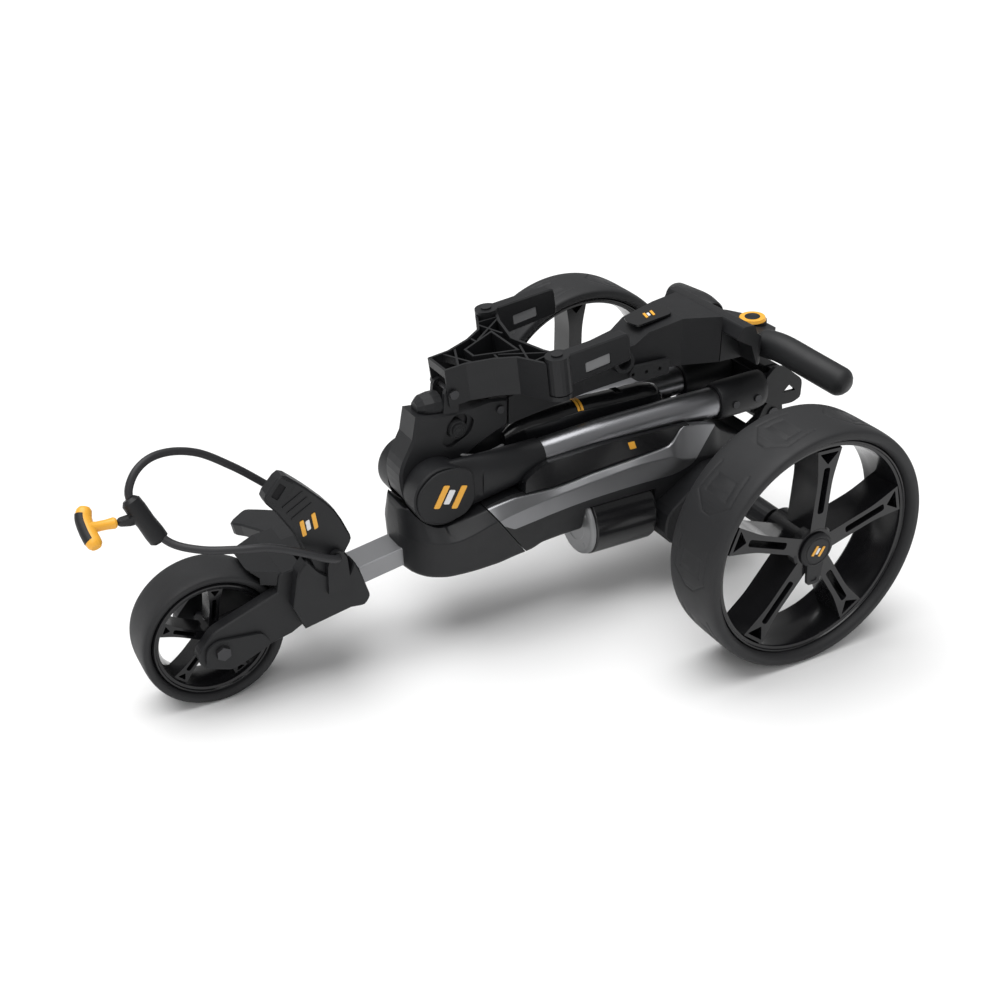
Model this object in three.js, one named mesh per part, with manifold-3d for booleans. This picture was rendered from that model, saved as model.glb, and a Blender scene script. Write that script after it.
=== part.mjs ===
// A compact electric golf trolley, folded for the car boot. Millimetres, +Z up, +X towards the rear,
// -Y is the trolley's left side. Rear wheels and front wheel stand on z = 0.
import * as THREE from "three";
import { mergeVertices } from "three/addons/utils/BufferGeometryUtils.js";
import Module from "manifold-3d";

const wasm = await Module();
wasm.setup();

// ---- driving dimensions. x is measured from the rear axle, and the whole trolley is then moved by REAR_AXLE_X
const REAR_AXLE_X = 270.2;
const GAP = 0.4; // clearance between pieces that touch
const DRIVE_WHEEL = { radius: 150, width: 82, y: 246.5, bead: 134, spokes: 5 };
const FRONT_WHEEL = { radius: 81.3, width: 57, x: -621.5, bead: 69.5, spokes: 5 };
const BAR = { width: 40, height: 24, slope: 0.183, x: -420, z: 111 };
const FRAME_PIVOT = { x: 125, z: 192, radius: 16 };
const BRACKET_HINGE = { x: -322, z: 309.5, pin: 3 };
const FOLD_PIVOT = { x: -350, z: 200.3, drum: 36.8, halfWidth: 50 };
const TUBE_RADIUS = 19;
const TUBE_PATH = [
  [-217, 33, 213],
  [-135, 37, 222],
  [-60, 38, 225.5],
  [28, 38, 228],
];
const BRACKET_TILT = THREE.MathUtils.degToRad(7.4); // the upper bag bracket rises towards the rear
const ARM_HINGE = { x: -217.3, y: 81.4, top: 355.6, radius: 14 };
const LOWER_ARM = { x: -498, y: 40, z: 132, thick: 18, pin: 3.2, openAngle: 98 }; // its axis runs along the bar
const MOTOR = { x0: -167, x1: -72, y: -40, z: 110, radius: 40.5 };
const STRAP_RADIUS = 4.4;
const STRAP = [
  [-487, -61, 169],
  [-490, -71, 171],
  [-503, -74, 177],
  [-525, -71, 188],
  [-560, -61, 200],
  [-592, -55, 204],
  [-630, -40, 207],
  [-656, -24, 215],
  [-671, -8, 233],
  [-679, 1, 248],
  [-684, 7, 264],
  [-675, 13, 282],
  [-657, 22, 291],
  [-632, 31, 290],
  [-600, 36, 279],
  [-566, 34, 256],
  [-540, 33, 234],
  [-492, 33, 188],
  [-472, 33, 167],
  [-465, 33, 154],
];
const LATCH = { x: -317.6, z: 265, radius: 11, travel: 7, along: [0.585, 0.811] };
const DIAL = { x: 112, z: 303, radius: 17.5, tilt: THREE.MathUtils.degToRad(-4) };

// ---- colours
const look = (color, roughness, metalness) => ({ color, roughness, metalness });
const MATT_BLACK = look(0x1d1e20, 0.6, 0.05);
const GLOSS_BLACK = look(0x0d0e10, 0.2, 0.1);
const RUBBER = look(0x232427, 0.85, 0);
const GUNMETAL = look(0x6d6f73, 0.32, 0.9);
const STEEL = look(0xb6b9bd, 0.3, 1);
const AMBER = look(0xf4a51e, 0.45, 0);
const PAD_GREY = look(0x9a9da0, 0.8, 0);

// ---- solids
function solid(geometry) {
  const loose = geometry.index ? geometry.toNonIndexed() : geometry;
  const bare = new THREE.BufferGeometry().setAttribute("position", loose.getAttribute("position"));
  const merged = mergeVertices(bare, 1e-3);
  const mesh = new wasm.Mesh({
    numProp: 3,
    vertProperties: merged.attributes.position.array,
    triVerts: new Uint32Array(merged.index.array),
  });
  return new wasm.Manifold(mesh);
}

function join(first, ...others) {
  return others.reduce((sum, other) => sum.add(other), first);
}

function cut(first, ...others) {
  return others.reduce((left, other) => left.subtract(other), first);
}

// The same solid on the other side of the trolley's middle plane.
function mirrored(made) {
  return made.mirror([0, 1, 0]);
}

function box(x0, x1, y0, y1, z0, z1) {
  const geometry = new THREE.BoxGeometry(x1 - x0, y1 - y0, z1 - z0);
  return solid(geometry.translate((x0 + x1) / 2, (y0 + y1) / 2, (z0 + z1) / 2));
}

// A round rod from one point to another, with a second radius at its far end for a taper.
function rod(from, to, radius, sides = 20, endRadius = radius) {
  const a = new THREE.Vector3(...from);
  const b = new THREE.Vector3(...to);
  const along = b.clone().sub(a);
  const geometry = new THREE.CylinderGeometry(endRadius, radius, along.length(), sides);
  const turn = new THREE.Quaternion().setFromUnitVectors(new THREE.Vector3(0, 1, 0), along.normalize());
  const middle = a.add(b).multiplyScalar(0.5);
  return solid(geometry.applyQuaternion(turn).translate(middle.x, middle.y, middle.z));
}

const rodY = (x, z, y0, y1, radius, sides) => rod([x, y0, z], [x, y1, z], radius, sides);

// A closed outline; each corner [u, v] is rounded off over its own third value or the common radius, and
// never over more than half of a neighbouring edge.
function outline(points, radius = 0) {
  const shape = new THREE.Shape();
  points.forEach(([u, v, wanted = radius], i) => {
    const corner = new THREE.Vector2(u, v);
    const before = new THREE.Vector2(...points.at(i - 1)).sub(corner);
    const after = new THREE.Vector2(...points[(i + 1) % points.length]).sub(corner);
    const own = Math.min(wanted, 0.46 * before.length(), 0.46 * after.length());
    const start = before.setLength(own).add(corner);
    const end = after.setLength(own).add(corner);
    if (i) shape.lineTo(start.x, start.y);
    else shape.moveTo(start.x, start.y);
    if (own) shape.quadraticCurveTo(corner.x, corner.y, end.x, end.y);
  });
  shape.closePath();
  return shape;
}

function extruded(shape, depth, bevel, curveSegments) {
  return new THREE.ExtrudeGeometry(shape, {
    depth: depth - 2 * bevel,
    curveSegments,
    bevelEnabled: bevel > 0,
    bevelThickness: bevel,
    bevelSize: bevel,
    bevelOffset: -bevel,
    bevelSegments: 1,
  }).translate(0, 0, bevel);
}

// A plate drawn from the side in x and z, y0 to y1 thick.
function sidePlate(points, y0, y1, { radius = 0, bevel = 0, curve = 3 } = {}) {
  const geometry = extruded(outline(points, radius), y1 - y0, bevel, curve);
  return solid(geometry.rotateX(Math.PI / 2).translate(0, y1, 0));
}

// A plate drawn from above in x and y, z0 to z1 thick.
function topPlate(points, z0, z1, { radius = 0, bevel = 0, curve = 3 } = {}) {
  return solid(extruded(outline(points, radius), z1 - z0, bevel, curve).translate(0, 0, z0));
}

// A closed skin over rings that all have the same number of points.
function loft(rings) {
  const count = rings[0].length;
  const positions = rings.flat(2);
  const index = [];
  for (let r = 0; r < rings.length - 1; r++) {
    for (let i = 0; i < count; i++) {
      const a = r * count + i;
      const b = r * count + ((i + 1) % count);
      index.push(a, b, b + count, a, b + count, a + count);
    }
  }
  const last = (rings.length - 1) * count;
  for (let i = 1; i < count - 1; i++) {
    index.push(0, i + 1, i, last, last + i, last + i + 1);
  }
  const geometry = new THREE.BufferGeometry();
  geometry.setAttribute("position", new THREE.Float32BufferAttribute(positions, 3));
  geometry.setIndex(index);
  const made = solid(geometry);
  if (made.volume() > 0) return made;
  const flipped = geometry.clone();
  flipped.setIndex(index.slice().reverse());
  return solid(flipped);
}

// A round tube along a smooth curve through the points.
function tube(points, radius, sides, steps) {
  const path = new THREE.CatmullRomCurve3(points.map((p) => new THREE.Vector3(...p)));
  const section = new THREE.Shape();
  for (let i = 0; i <= sides; i++) {
    const angle = (2 * Math.PI * i) / sides;
    const at = [radius * Math.cos(angle), radius * Math.sin(angle)];
    if (i) section.lineTo(...at);
    else section.moveTo(...at);
  }
  return solid(new THREE.ExtrudeGeometry(section, { extrudePath: path, steps, curveSegments: sides }));
}

// A ring turned about a line along y, from a closed profile of [radius, y].
function turned(profile, segments) {
  const points = [...profile, profile[0]].reverse().map(([r, y]) => new THREE.Vector2(r, y));
  return solid(new THREE.LatheGeometry(points, segments));
}

// Turns a solid about a line along y through (x, z). A positive angle carries +Z towards +X.
function pitched(made, angle, x, z) {
  return made
    .translate([-x, 0, -z])
    .rotate([0, THREE.MathUtils.radToDeg(angle), 0])
    .translate([x, 0, z]);
}

// ---- the trolley as a scene graph
const trolley = new THREE.Group();
trolley.position.x = REAR_AXLE_X;

function add(name, made, finish) {
  const mesh = made.getMesh();
  const geometry = new THREE.BufferGeometry();
  geometry.setAttribute("position", new THREE.BufferAttribute(Float32Array.from(mesh.vertProperties), 3));
  geometry.setIndex(new THREE.BufferAttribute(Uint32Array.from(mesh.triVerts), 1));
  geometry.computeVertexNormals();
  const piece = new THREE.Mesh(geometry, new THREE.MeshStandardMaterial(finish));
  piece.name = name;
  trolley.add(piece);
}

// Makes a piece on the left and its twin on the right.
function addPair(name, made, finish) {
  add(name + "_left", made, finish);
  add(name + "_right", mirrored(made), finish);
}

// ---- wheels
// Arms from the hub to the rim, the first one turned by phase. outer is their outboard face; each has a long
// channel in that face and a triangular hole in its foot.
function spokes({ count, hub, reach, outer, depth, width, foot, channel, phase }) {
  const half = width / 2;
  const footHalf = foot / 2;
  const footStart = reach - footHalf * 1.2;
  const arm = cut(
    topPlate(
      [
        [hub, -half],
        [footStart - footHalf, -half],
        [reach, -footHalf],
        [reach, footHalf],
        [footStart - footHalf, half],
        [hub, half],
      ],
      outer - depth,
      outer,
    ),
    topPlate(
      [
        [channel.from, -channel.width / 2],
        [channel.to, -channel.width / 2],
        [channel.to, channel.width / 2],
        [channel.from, channel.width / 2],
      ],
      outer - channel.depth,
      outer + 1,
      { radius: 3, curve: 2 },
    ),
    topPlate(
      [
        [channel.to + 4, 0],
        [reach - 5, 4 - footHalf],
        [reach - 5, footHalf - 4],
      ],
      outer - depth - 1,
      outer + 1,
    ),
  );
  const arms = [];
  for (let i = 0; i < count; i++) {
    arms.push(arm.rotate([90, 0, 0]).rotate([0, -phase - (360 * i) / count, 0]));
  }
  return join(...arms);
}

function driveTyre() {
  const half = DRIVE_WHEEL.width / 2;
  const { radius, bead } = DRIVE_WHEEL;
  const section = [
    [bead, -33],
    [bead, 33],
    [bead + 6, half],
    [radius - 2.5, half - 3],
    [radius, half - 18],
    [radius, 18 - half],
    [radius - 2.5, 3 - half],
    [bead + 6, -half],
  ];
  return turned(section, 36);
}

function driveRim(phase) {
  const top = DRIVE_WHEEL.bead - GAP;
  const ring = turned(
    [
      [top, -32],
      [top - 11, -29],
      [top - 11, 29],
      [top, 32],
    ],
    36,
  );
  const star = spokes({
    count: DRIVE_WHEEL.spokes,
    hub: 12,
    reach: top - 8,
    outer: 31,
    depth: 40,
    width: 20.6,
    foot: 34,
    channel: { from: 46, to: 102, width: 8.6, depth: 12 },
    phase,
  });
  const hub = join(rodY(0, 0, -31, 24, 28, 20), rodY(0, 0, 20, 33, 26, 20));
  const axleBore = rodY(0, 0, -16, 40, 7, 16);
  return cut(join(ring, star, hub), axleBore);
}

function addDriveWheel(name, side, phase) {
  const centre = [0, side * DRIVE_WHEEL.y, DRIVE_WHEEL.radius];
  const place = (made) => (side < 0 ? made : mirrored(made)).translate(centre);
  add("tyre_" + name, place(driveTyre()), RUBBER);
  add("rim_" + name, place(driveRim(phase)), GLOSS_BLACK);
  const cap = rod([0, -31 - GAP, 0], [0, -37, 0], 21.5, 24, 19);
  const tabSide = [[-8.5, -44], [8.5, -44], [12, -14], [-12, -14]];
  const releaseTab = sidePlate(tabSide, -35.5, -31 - GAP, { radius: 3 });
  add("hub_cap_" + name, place(join(cap, releaseTab)), MATT_BLACK);
}

addDriveWheel("left", -1, 88);
addDriveWheel("right", 1, 90);

function frontTyre() {
  const half = FRONT_WHEEL.width / 2;
  const { radius, bead } = FRONT_WHEEL;
  return turned(
    [
      [bead, -24],
      [bead, 24],
      [bead + 3, half],
      [radius - 3, half - 5],
      [radius, half - 17],
      [radius, 17 - half],
      [radius - 3, 5 - half],
      [bead + 3, -half],
    ],
    28,
  );
}

function frontRim() {
  const top = FRONT_WHEEL.bead - GAP;
  const ring = turned(
    [
      [top, -23],
      [top - 7, -21],
      [top - 7, 21],
      [top, 23],
    ],
    28,
  );
  const star = spokes({
    count: FRONT_WHEEL.spokes,
    hub: 8,
    reach: top - 5,
    outer: 18,
    depth: 20,
    width: 11,
    foot: 18,
    channel: { from: 22, to: 47, width: 5, depth: 6 },
    phase: 10,
  });
  const hub = rodY(0, 0, -29, 29, 14, 16);
  return cut(join(ring, star, hub), rodY(0, 0, -40, 40, 5.4, 16));
}

const atFrontAxle = (made) => made.translate([FRONT_WHEEL.x, 0, FRONT_WHEEL.radius]);
add("tyre_front", atFrontAxle(frontTyre()), RUBBER);
add("rim_front", atFrontAxle(frontRim()), GLOSS_BLACK);

// ---- chassis body: cross sections from the nose to the rear, [x, bottom z and half width, side crease z and
// half width, top z and half width]
const CHASSIS_SECTIONS = [
  [-392, 110, 8, 148, 16, 176, 10],
  [-388, 102, 24, 149, 32, 182, 22],
  [-379, 97, 38, 149, 48, 182, 34],
  [-366, 95, 50, 149, 61, 174, 42],
  [-346, 95, 59, 150, 70, 163, 50],
  [-318, 95, 61, 157, 73, 169, 56],
  [-288, 96, 61, 166, 73, 182, 62],
  [-262, 99, 60, 171, 73, 197, 64],
  [-240, 102, 60, 176, 73, 186, 65],
  [-222, 107, 59, 178, 73, 181.5, 65],
  [-157, 111, 59, 185, 73, 188, 65],
  [-98, 113, 59, 190, 73, 193, 65],
  [-54, 114, 59, 189, 73, 197, 64],
  [-33, 114, 58, 180, 71, 218, 63],
  [17, 116, 55, 170, 65, 209, 60],
  [28, 117, 54, 168, 62, 199, 56],
  [62, 122, 48, 160, 54, 180, 46],
  [78, 126, 44, 156, 50, 174, 42],
];

// The shell grown by a little; with a room, only what lies outside that half width.
function chassisShell(grow, room = 0) {
  const rings = CHASSIS_SECTIONS.map(([x, bottomZ, bottomY, creaseZ, creaseY, topZ, topY]) => {
    const half = [
      [bottomY - 8, bottomZ],
      [bottomY, bottomZ + 7],
      [creaseY, creaseZ - 5],
      [creaseY - 3, creaseZ + 3],
      [topY, topZ - 1],
      [topY - 6, topZ],
    ];
    const side = half.map(([y, z], i) => [x, y + grow, i < 3 ? z : z + grow]);
    return [[x, -1, bottomZ], ...side, [x, -1, topZ + grow]];
  });
  const rightHalf = loft(rings);
  const whole = join(rightHalf, mirrored(rightHalf));
  const { x0, x1, floor } = BATTERY;
  return room ? cut(whole, box(x0 - GAP, x1 + GAP, -room, room, floor - GAP, 260)) : whole;
}

// The frame tube on the left, the front sleeve that carries it, and the room that both need, grown by a little.
const tubePath = TUBE_PATH.map(([x, y, z]) => [x, -y, z]);

function ellipseRing(x, y, z, halfY, halfZ, count = 16) {
  const ring = [];
  for (let i = 0; i < count; i++) {
    const angle = (2 * Math.PI * i) / count;
    ring.push([x, y + halfY * Math.cos(angle), z + halfZ * Math.sin(angle)]);
  }
  return ring;
}

const FRONT_SLEEVE = [
  [-352, -35.5, 200.5, 12, 36],
  [-318, -36, 203, 14, 32.8],
  [-280, -35, 206.5, 19, 28],
  [-250, -33.5, 209.5, 21, 24],
  [-217 - GAP, -33, 213, 21, 21],
];
const sleeveSolid = (grow) =>
  loft(FRONT_SLEEVE.map(([x, y, z, halfY, halfZ]) => ellipseRing(x, y, z, halfY + grow, halfZ + grow)));
const frontSleeveBody = sleeveSolid(0);
const roomHalf = join(
  tube(tubePath, TUBE_RADIUS + 1.4, 16, 8),
  sleeveSolid(1.4),
  rod([-217.6, -33, 213], [-214, -33.1, 213.4], 22.4, 16),
  rod([27, -38, 228], [110, -36, 230], 26, 16),
);
const frameClearance = join(roomHalf, mirrored(roomHalf));

// The battery: a low block in the chassis tray with a crown that stands up between the two frame tubes.
const BATTERY = { x0: -252, x1: -24, half: 51, floor: 158, shoulder: 194, wallOuter: 64 };
const BATTERY_WALL = [
  [BATTERY.x0, 176],
  [BATTERY.x1, 176],
  [BATTERY.x1, 222, 3],
  [-53, 222],
  [-147, 223, 20],
  [-229, 216, 10],
  [BATTERY.x0, 202, 6],
];
function batteryBlock() {
  const { x0, x1, half, floor, shoulder, wallOuter } = BATTERY;
  const middle = sidePlate(
    [
      [x0, floor],
      [x1, floor],
      [x1, shoulder + 8],
      [-120, shoulder + 4, 20],
      [x0 + 22, shoulder - 12, 14],
      [x0, 178, 5],
    ],
    -half,
    half,
  );
  const wall = sidePlate(BATTERY_WALL, -wallOuter, -half + 6, { bevel: 1.5, curve: 2 });
  return cut(join(middle, wall, mirrored(wall)), chassisShell(GAP, BATTERY.half + GAP), frameClearance);
}

// The crown's cross section is upright below and half an ellipse above.
function crownSolid() {
  const arc = 12;
  const steps = 8;
  const rings = [
    [-247, 6, 172, 235],
    [-235, 9, 174, 243],
    [-213, 11, 176, 249],
    [-200, 12.6, 178, 250.5],
    [-170, 15, 182, 254],
    [-126, 16.3, 190, 256],
    [-60, 17.3, 194, 256],
    [-35, 15, 196, 252],
    [-26, 11, 196, 240],
  ].map(([x, half, low, high]) => {
    const ring = [
      [x, -half, low],
      [x, half, low],
    ];
    for (let i = 0; i <= steps; i++) {
      const angle = (Math.PI * i) / steps;
      ring.push([x, half * Math.cos(angle), high - arc + arc * Math.sin(angle)]);
    }
    return ring;
  });
  return loft(rings);
}

// The nose and the tray meet along a slanted seam.
const NOSE_REGION = [
  [-420, 80],
  [-226, 80],
  [-322, 200],
  [-420, 200],
];
const noseRegion = sidePlate(NOSE_REGION, -100, 100);
const noseRegionAndSeam = noseRegion.translate([1, 0, 0]).add(noseRegion);
const barSolid = (x0, x1, grow) => {
  const half = BAR.width / 2 + grow;
  const rise = BAR.height / 2 + grow;
  const at = (x) => BAR.z + BAR.slope * (x - BAR.x);
  return sidePlate(
    [
      [x0, at(x0) - rise],
      [x1, at(x1) - rise],
      [x1, at(x1) + rise],
      [x0, at(x0) + rise],
    ],
    -half,
    half,
    { bevel: 1.6 },
  );
};
const drumClearance = rodY(FOLD_PIVOT.x, FOLD_PIVOT.z, -56, 56, FOLD_PIVOT.drum + 1.6, 32);
const MEMBER_ROOM = [
  [-400, 270],
  [-394, 226],
  [-389, 183],
  [-352, 160.5],
  [-314, 182],
  [-302, 222],
  [-302, 270],
];
const memberClearance = sidePlate(MEMBER_ROOM, -24, 24);
const alongMotor = (x0, x1, radius, endRadius) =>
  rod([x0, MOTOR.y, MOTOR.z], [x1, MOTOR.y, MOTOR.z], radius, 24, endRadius);
const motorClearance = alongMotor(MOTOR.x0 - 4, MOTOR.x1 + 4, MOTOR.radius + 1.5);
const shell = chassisShell(0);

const nose = cut(
  shell.intersect(noseRegion),
  drumClearance,
  memberClearance,
  frameClearance,
  barSolid(-460, -352, GAP),
);
add("chassis_nose", nose, MATT_BLACK);

// Gearbox: a deep housing on the left of the middle, round the drive axle and down behind the motor.
const GEARBOX_SIDE = [
  [-68, 118],
  [-70, 84],
  [-48, 70],
  [10, 66],
  [66, 92],
  [82, 130],
  [60, 166],
  [-6, 166],
  [-26, 153],
];
const gearboxOuter = sidePlate(GEARBOX_SIDE, -92, -30, { radius: 10, bevel: 2, curve: 2 });
const gearboxRoom = sidePlate(
  GEARBOX_SIDE.map(([x, z]) => [x + GAP * Math.sign(x + 10), z + GAP * Math.sign(z - 110)]),
  -92 - GAP,
  -30 + GAP,
);
const axleBore = rodY(0, DRIVE_WHEEL.radius, -110, 110, 15 + GAP, 20);

const tray = cut(
  shell,
  noseRegionAndSeam,
  box(BATTERY.x0 - GAP, BATTERY.x1 + GAP, -BATTERY.half - GAP, BATTERY.half + GAP, BATTERY.floor - GAP, 260),
  motorClearance,
  gearboxRoom,
  axleBore,
  frameClearance,
);
add("chassis_tray", tray, MATT_BLACK);
add("gearbox", cut(gearboxOuter, axleBore), MATT_BLACK);

const battery = batteryBlock();
add("battery_pack", battery, GLOSS_BLACK);
add("battery_crown", cut(crownSolid(), battery, battery.translate([0, 0, GAP])), GLOSS_BLACK);

// Side panels: thin metal-coloured skins over the crease, from the seam to the rear strut.
const PANEL_REGION = [
  [-312, 210],
  [-312, 174],
  [-270, 146],
  [-181, 157],
  [-106, 160],
  [-45, 160],
  [-22, 167],
  [17, 210],
  [17, 222],
];
const panelSkin = cut(
  chassisShell(2.2).intersect(sidePlate(PANEL_REGION, -100, 0)),
  chassisShell(GAP),
  noseRegionAndSeam.translate([0.6, 0, 0]),
  box(-330, 40, -57, 57, 100, 260),
  sidePlate(BATTERY_WALL, -BATTERY.wallOuter - GAP, 0),
  frameClearance,
);
addPair("side_panel", panelSkin, GUNMETAL);

// Motor: a can along x under the tray, with a bright end cap towards the front.
add("motor_can", alongMotor(MOTOR.x0 + 5, MOTOR.x1, MOTOR.radius), GLOSS_BLACK);
add("motor_end_cap", alongMotor(MOTOR.x0, MOTOR.x0 + 5 - GAP, MOTOR.radius - 3, MOTOR.radius), STEEL);

// Axle tube across the chassis, with a stub in each drive wheel's hub.
const axle = join(
  rodY(0, DRIVE_WHEEL.radius, -204, 204, 15, 20),
  rodY(0, DRIVE_WHEEL.radius, -258, 258, 6.4, 16),
);
add("drive_axle", axle, MATT_BLACK);

// Rear lug: two ears that carry the frame pivot, standing up from the tray.
const EAR_SIDE = [
  [50, 172],
  [84, 176],
  [104, 190],
  [112, 208, 8],
  [138, 208, 8],
  [143, 184, 8],
  [122, 164, 8],
  [84, 150],
  [50, 150],
];
const ear = cut(sidePlate(EAR_SIDE, -41, -31, { radius: 2 }), frameClearance);
const bridge = sidePlate([[50, 172], [84, 176], [96, 178], [96, 160], [84, 150], [50, 150]], -31, 31);
const lug = cut(
  join(ear, mirrored(ear), bridge),
  chassisShell(GAP),
  gearboxRoom,
  rodY(FRAME_PIVOT.x, FRAME_PIVOT.z, -60, 60, 5 + GAP, 16),
);
add("frame_lug", lug, MATT_BLACK);
const pivotPin = join(
  rodY(FRAME_PIVOT.x, FRAME_PIVOT.z, -43, 43, 5, 16),
  rodY(FRAME_PIVOT.x, FRAME_PIVOT.z, -43, -41 - GAP, 8, 16),
  rodY(FRAME_PIVOT.x, FRAME_PIVOT.z, 41 + GAP, 43, 8, 16),
);
add("frame_pivot_pin", pivotPin, STEEL);

// Front bar and fork
add("front_bar", barSolid(-474, -353, 0), GUNMETAL);

const FORK_SIDE = [
  [-549, 156, 4],
  [-474, 165, 6],
  [-456, 136],
  [-447, 101, 4],
  [-458, 93, 3],
  [-474, 98],
  [-520, 88],
  [-540, 77],
  [-560, 72],
  [-612, 57, 6],
  [-644, 62, 8],
  [-649, 82, 8],
  [-628, 106, 6],
  [-553, 134],
];
const wheelWell = rodY(FRONT_WHEEL.x, FRONT_WHEEL.radius, -33, 33, FRONT_WHEEL.radius + 6, 32);
const mudguardLip = topPlate(
  [
    [-546, -46],
    [-578, -26, 8],
    [-578, 26, 8],
    [-546, 46],
  ],
  140,
  157,
);

// A solid drawn about a lower arm's hinge line, with x along it, put in place on the left.
const HINGE_SLOPE = Math.atan(BAR.slope);
const alongHinge = (made) =>
  pitched(made, -HINGE_SLOPE, 0, 0).translate([LOWER_ARM.x, -LOWER_ARM.y, LOWER_ARM.z]);
const armPocket = join(box(-519, -476, -70, -30, 111, 190), box(-523, -472, -70, -16, 146, 190));
const nearPocket = join(box(-519, -476, -58.8, -30, 111, 190), box(-523, -472, -58.8, -16, 146, 190));
const pinRoom = alongHinge(rod([-29, 0, 0], [29, 0, 0], LOWER_ARM.pin + GAP, 12));
const strapRoom = tube(STRAP, STRAP_RADIUS + GAP, 8, 50);
// On the left a cheek with a scooped top stands outside the arm's root, with the strap's lug on it.
const CHEEK_LEFT = [
  [-541, 118],
  [-529, 87],
  [-474, 98],
  [-457, 96, 4],
  [-450, 106, 4],
  [-459, 136],
  [-467, 157, 4],
  [-474, 141, 3],
  [-487, 136, 6],
  [-499, 147, 6],
  [-509, 155, 6],
  [-521, 173, 4],
  [-533, 160, 6],
];
const STRAP_LUG = [
  [-501, 126],
  [-474, 126],
  [-477, 168, 8],
  [-484, 178, 8],
  [-494, 177, 8],
  [-500, 160],
];
const cheekLeft = cut(sidePlate(CHEEK_LEFT, -62.4, -44, { bevel: 1.5, curve: 2 }), nearPocket);
const strapLug = sidePlate(STRAP_LUG, -66.5, -61, { curve: 2 });
const forkBody = cut(
  join(sidePlate(FORK_SIDE, -48, 48, { bevel: 1.5 }), mudguardLip),
  armPocket,
  mirrored(armPocket),
  wheelWell,
  box(-700, -600, -33, 33, 0, 200),
);
const forkShell = cut(
  join(forkBody, cheekLeft, strapLug),
  barSolid(-480, -400, GAP),
  pinRoom,
  mirrored(pinRoom),
  rodY(FRONT_WHEEL.x, FRONT_WHEEL.radius, -60, 60, 5 + GAP, 16),
  strapRoom,
);
add("fork_housing", forkShell, MATT_BLACK);

const axleBolt = join(
  rodY(FRONT_WHEEL.x, FRONT_WHEEL.radius, -54, 54, 5, 16),
  rodY(FRONT_WHEEL.x, FRONT_WHEEL.radius, -57, -52 - GAP, 8.5, 6),
  rodY(FRONT_WHEEL.x, FRONT_WHEEL.radius, 48 + GAP, 55, 8.5, 6),
);
add("front_axle_bolt", axleBolt, STEEL);

const adjuster = cut(
  sidePlate(
    [
      [-641, 66],
      [-639, 88],
      [-626, 96],
      [-575, 91],
      [-566, 74],
      [-612, 55],
    ],
    -52,
    -48 - GAP,
    { radius: 6 },
  ),
  rodY(FRONT_WHEEL.x, FRONT_WHEEL.radius, -60, -40, 5 + GAP, 16),
);
add("tracking_adjuster", adjuster, MATT_BLACK);

// ---- lower bag arms: the left one stands upright, the right one is swung outwards about its hinge line
const LOWER_BLADE = [
  [-540, 282, 8],
  [-564, 256, 8],
  [-550, 238],
  [-528, 200, 14],
  [-521, 180],
  [-508, 144],
  [-488, 148],
  [-475, 169, 5],
  [-466, 183, 6],
  [-483, 224, 16],
  [-514, 258, 12],
];
const lowerBlade = sidePlate(LOWER_BLADE, -LOWER_ARM.y - LOWER_ARM.thick, -LOWER_ARM.y, { bevel: 2, curve: 2 });
const LOWER_LUG = [[-512, 128], [-486, 133], [-486, 152], [-508, 150]];
const lowerLug = sidePlate(LOWER_LUG, -LOWER_ARM.y - 9, -LOWER_ARM.y + 5);
const knuckleBarrel = alongHinge(rod([-17, 0, 0], [16, 0, 0], 8, 16));
const lowerArm = cut(join(lowerBlade, lowerLug, knuckleBarrel), pinRoom, strapRoom);
add("lower_arm_left", lowerArm, MATT_BLACK);

function swungOut(made, degrees) {
  const { x, y, z } = LOWER_ARM;
  const aligned = pitched(made, HINGE_SLOPE, x, z).translate([-x, -y, -z]);
  return pitched(aligned.rotate([-degrees, 0, 0]).translate([x, y, z]), -HINGE_SLOPE, x, z);
}
add("lower_arm_right", swungOut(mirrored(lowerArm), LOWER_ARM.openAngle), MATT_BLACK);
addPair("lower_arm_pin", alongHinge(rod([-27, 0, 0], [27, 0, 0], LOWER_ARM.pin, 12)), STEEL);

// ---- bag strap: an elastic cord from one side of the fork round to the other, through a slider
const strap = tube(STRAP, STRAP_RADIUS, 8, 50);
add("bag_strap", strap, RUBBER);
const slider = cut(
  join(
    rod([-663, -16, 214], [-685, 6, 260], 10.5, 12),
    rod([-679, -3, 240], [-704, -6, 243], 6, 12),
  ),
  tube(STRAP, STRAP_RADIUS + 1, 8, 64),
);
add("strap_slider", slider, MATT_BLACK);
const pull = join(
  rod([-704 - GAP, -6, 243], [-732, -8, 245], 6, 12),
  rod([-732, 9, 258], [-732, -25, 232], 8, 12),
);
add("strap_pull", pull, AMBER);

// ---- middle frame: two arched tubes with a round joint at the front and a yoke at the rear
const drum = rodY(FOLD_PIVOT.x, FOLD_PIVOT.z, -FOLD_PIVOT.halfWidth, -21, FOLD_PIVOT.drum, 32);
const drumBore = rodY(FOLD_PIVOT.x, FOLD_PIVOT.z, -60, 0, 7 + GAP, 16);
const memberSlot = box(-420, -296, -20.6, 20.6, 150, 260);
const leftTube = tube(tubePath, TUBE_RADIUS, 16, 8);
addPair("frame_tube", leftTube, GUNMETAL);
const sleeveTrim = leftTube.translate([-GAP, 0, 0]).add(leftTube);
const drumSide = box(-420, -300, -60, -FOLD_PIVOT.halfWidth, 100, 300);
const frontSleeve = cut(join(frontSleeveBody, drum), drumBore, memberSlot, sleeveTrim, drumSide);
addPair("front_sleeve", frontSleeve, MATT_BLACK);

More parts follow.
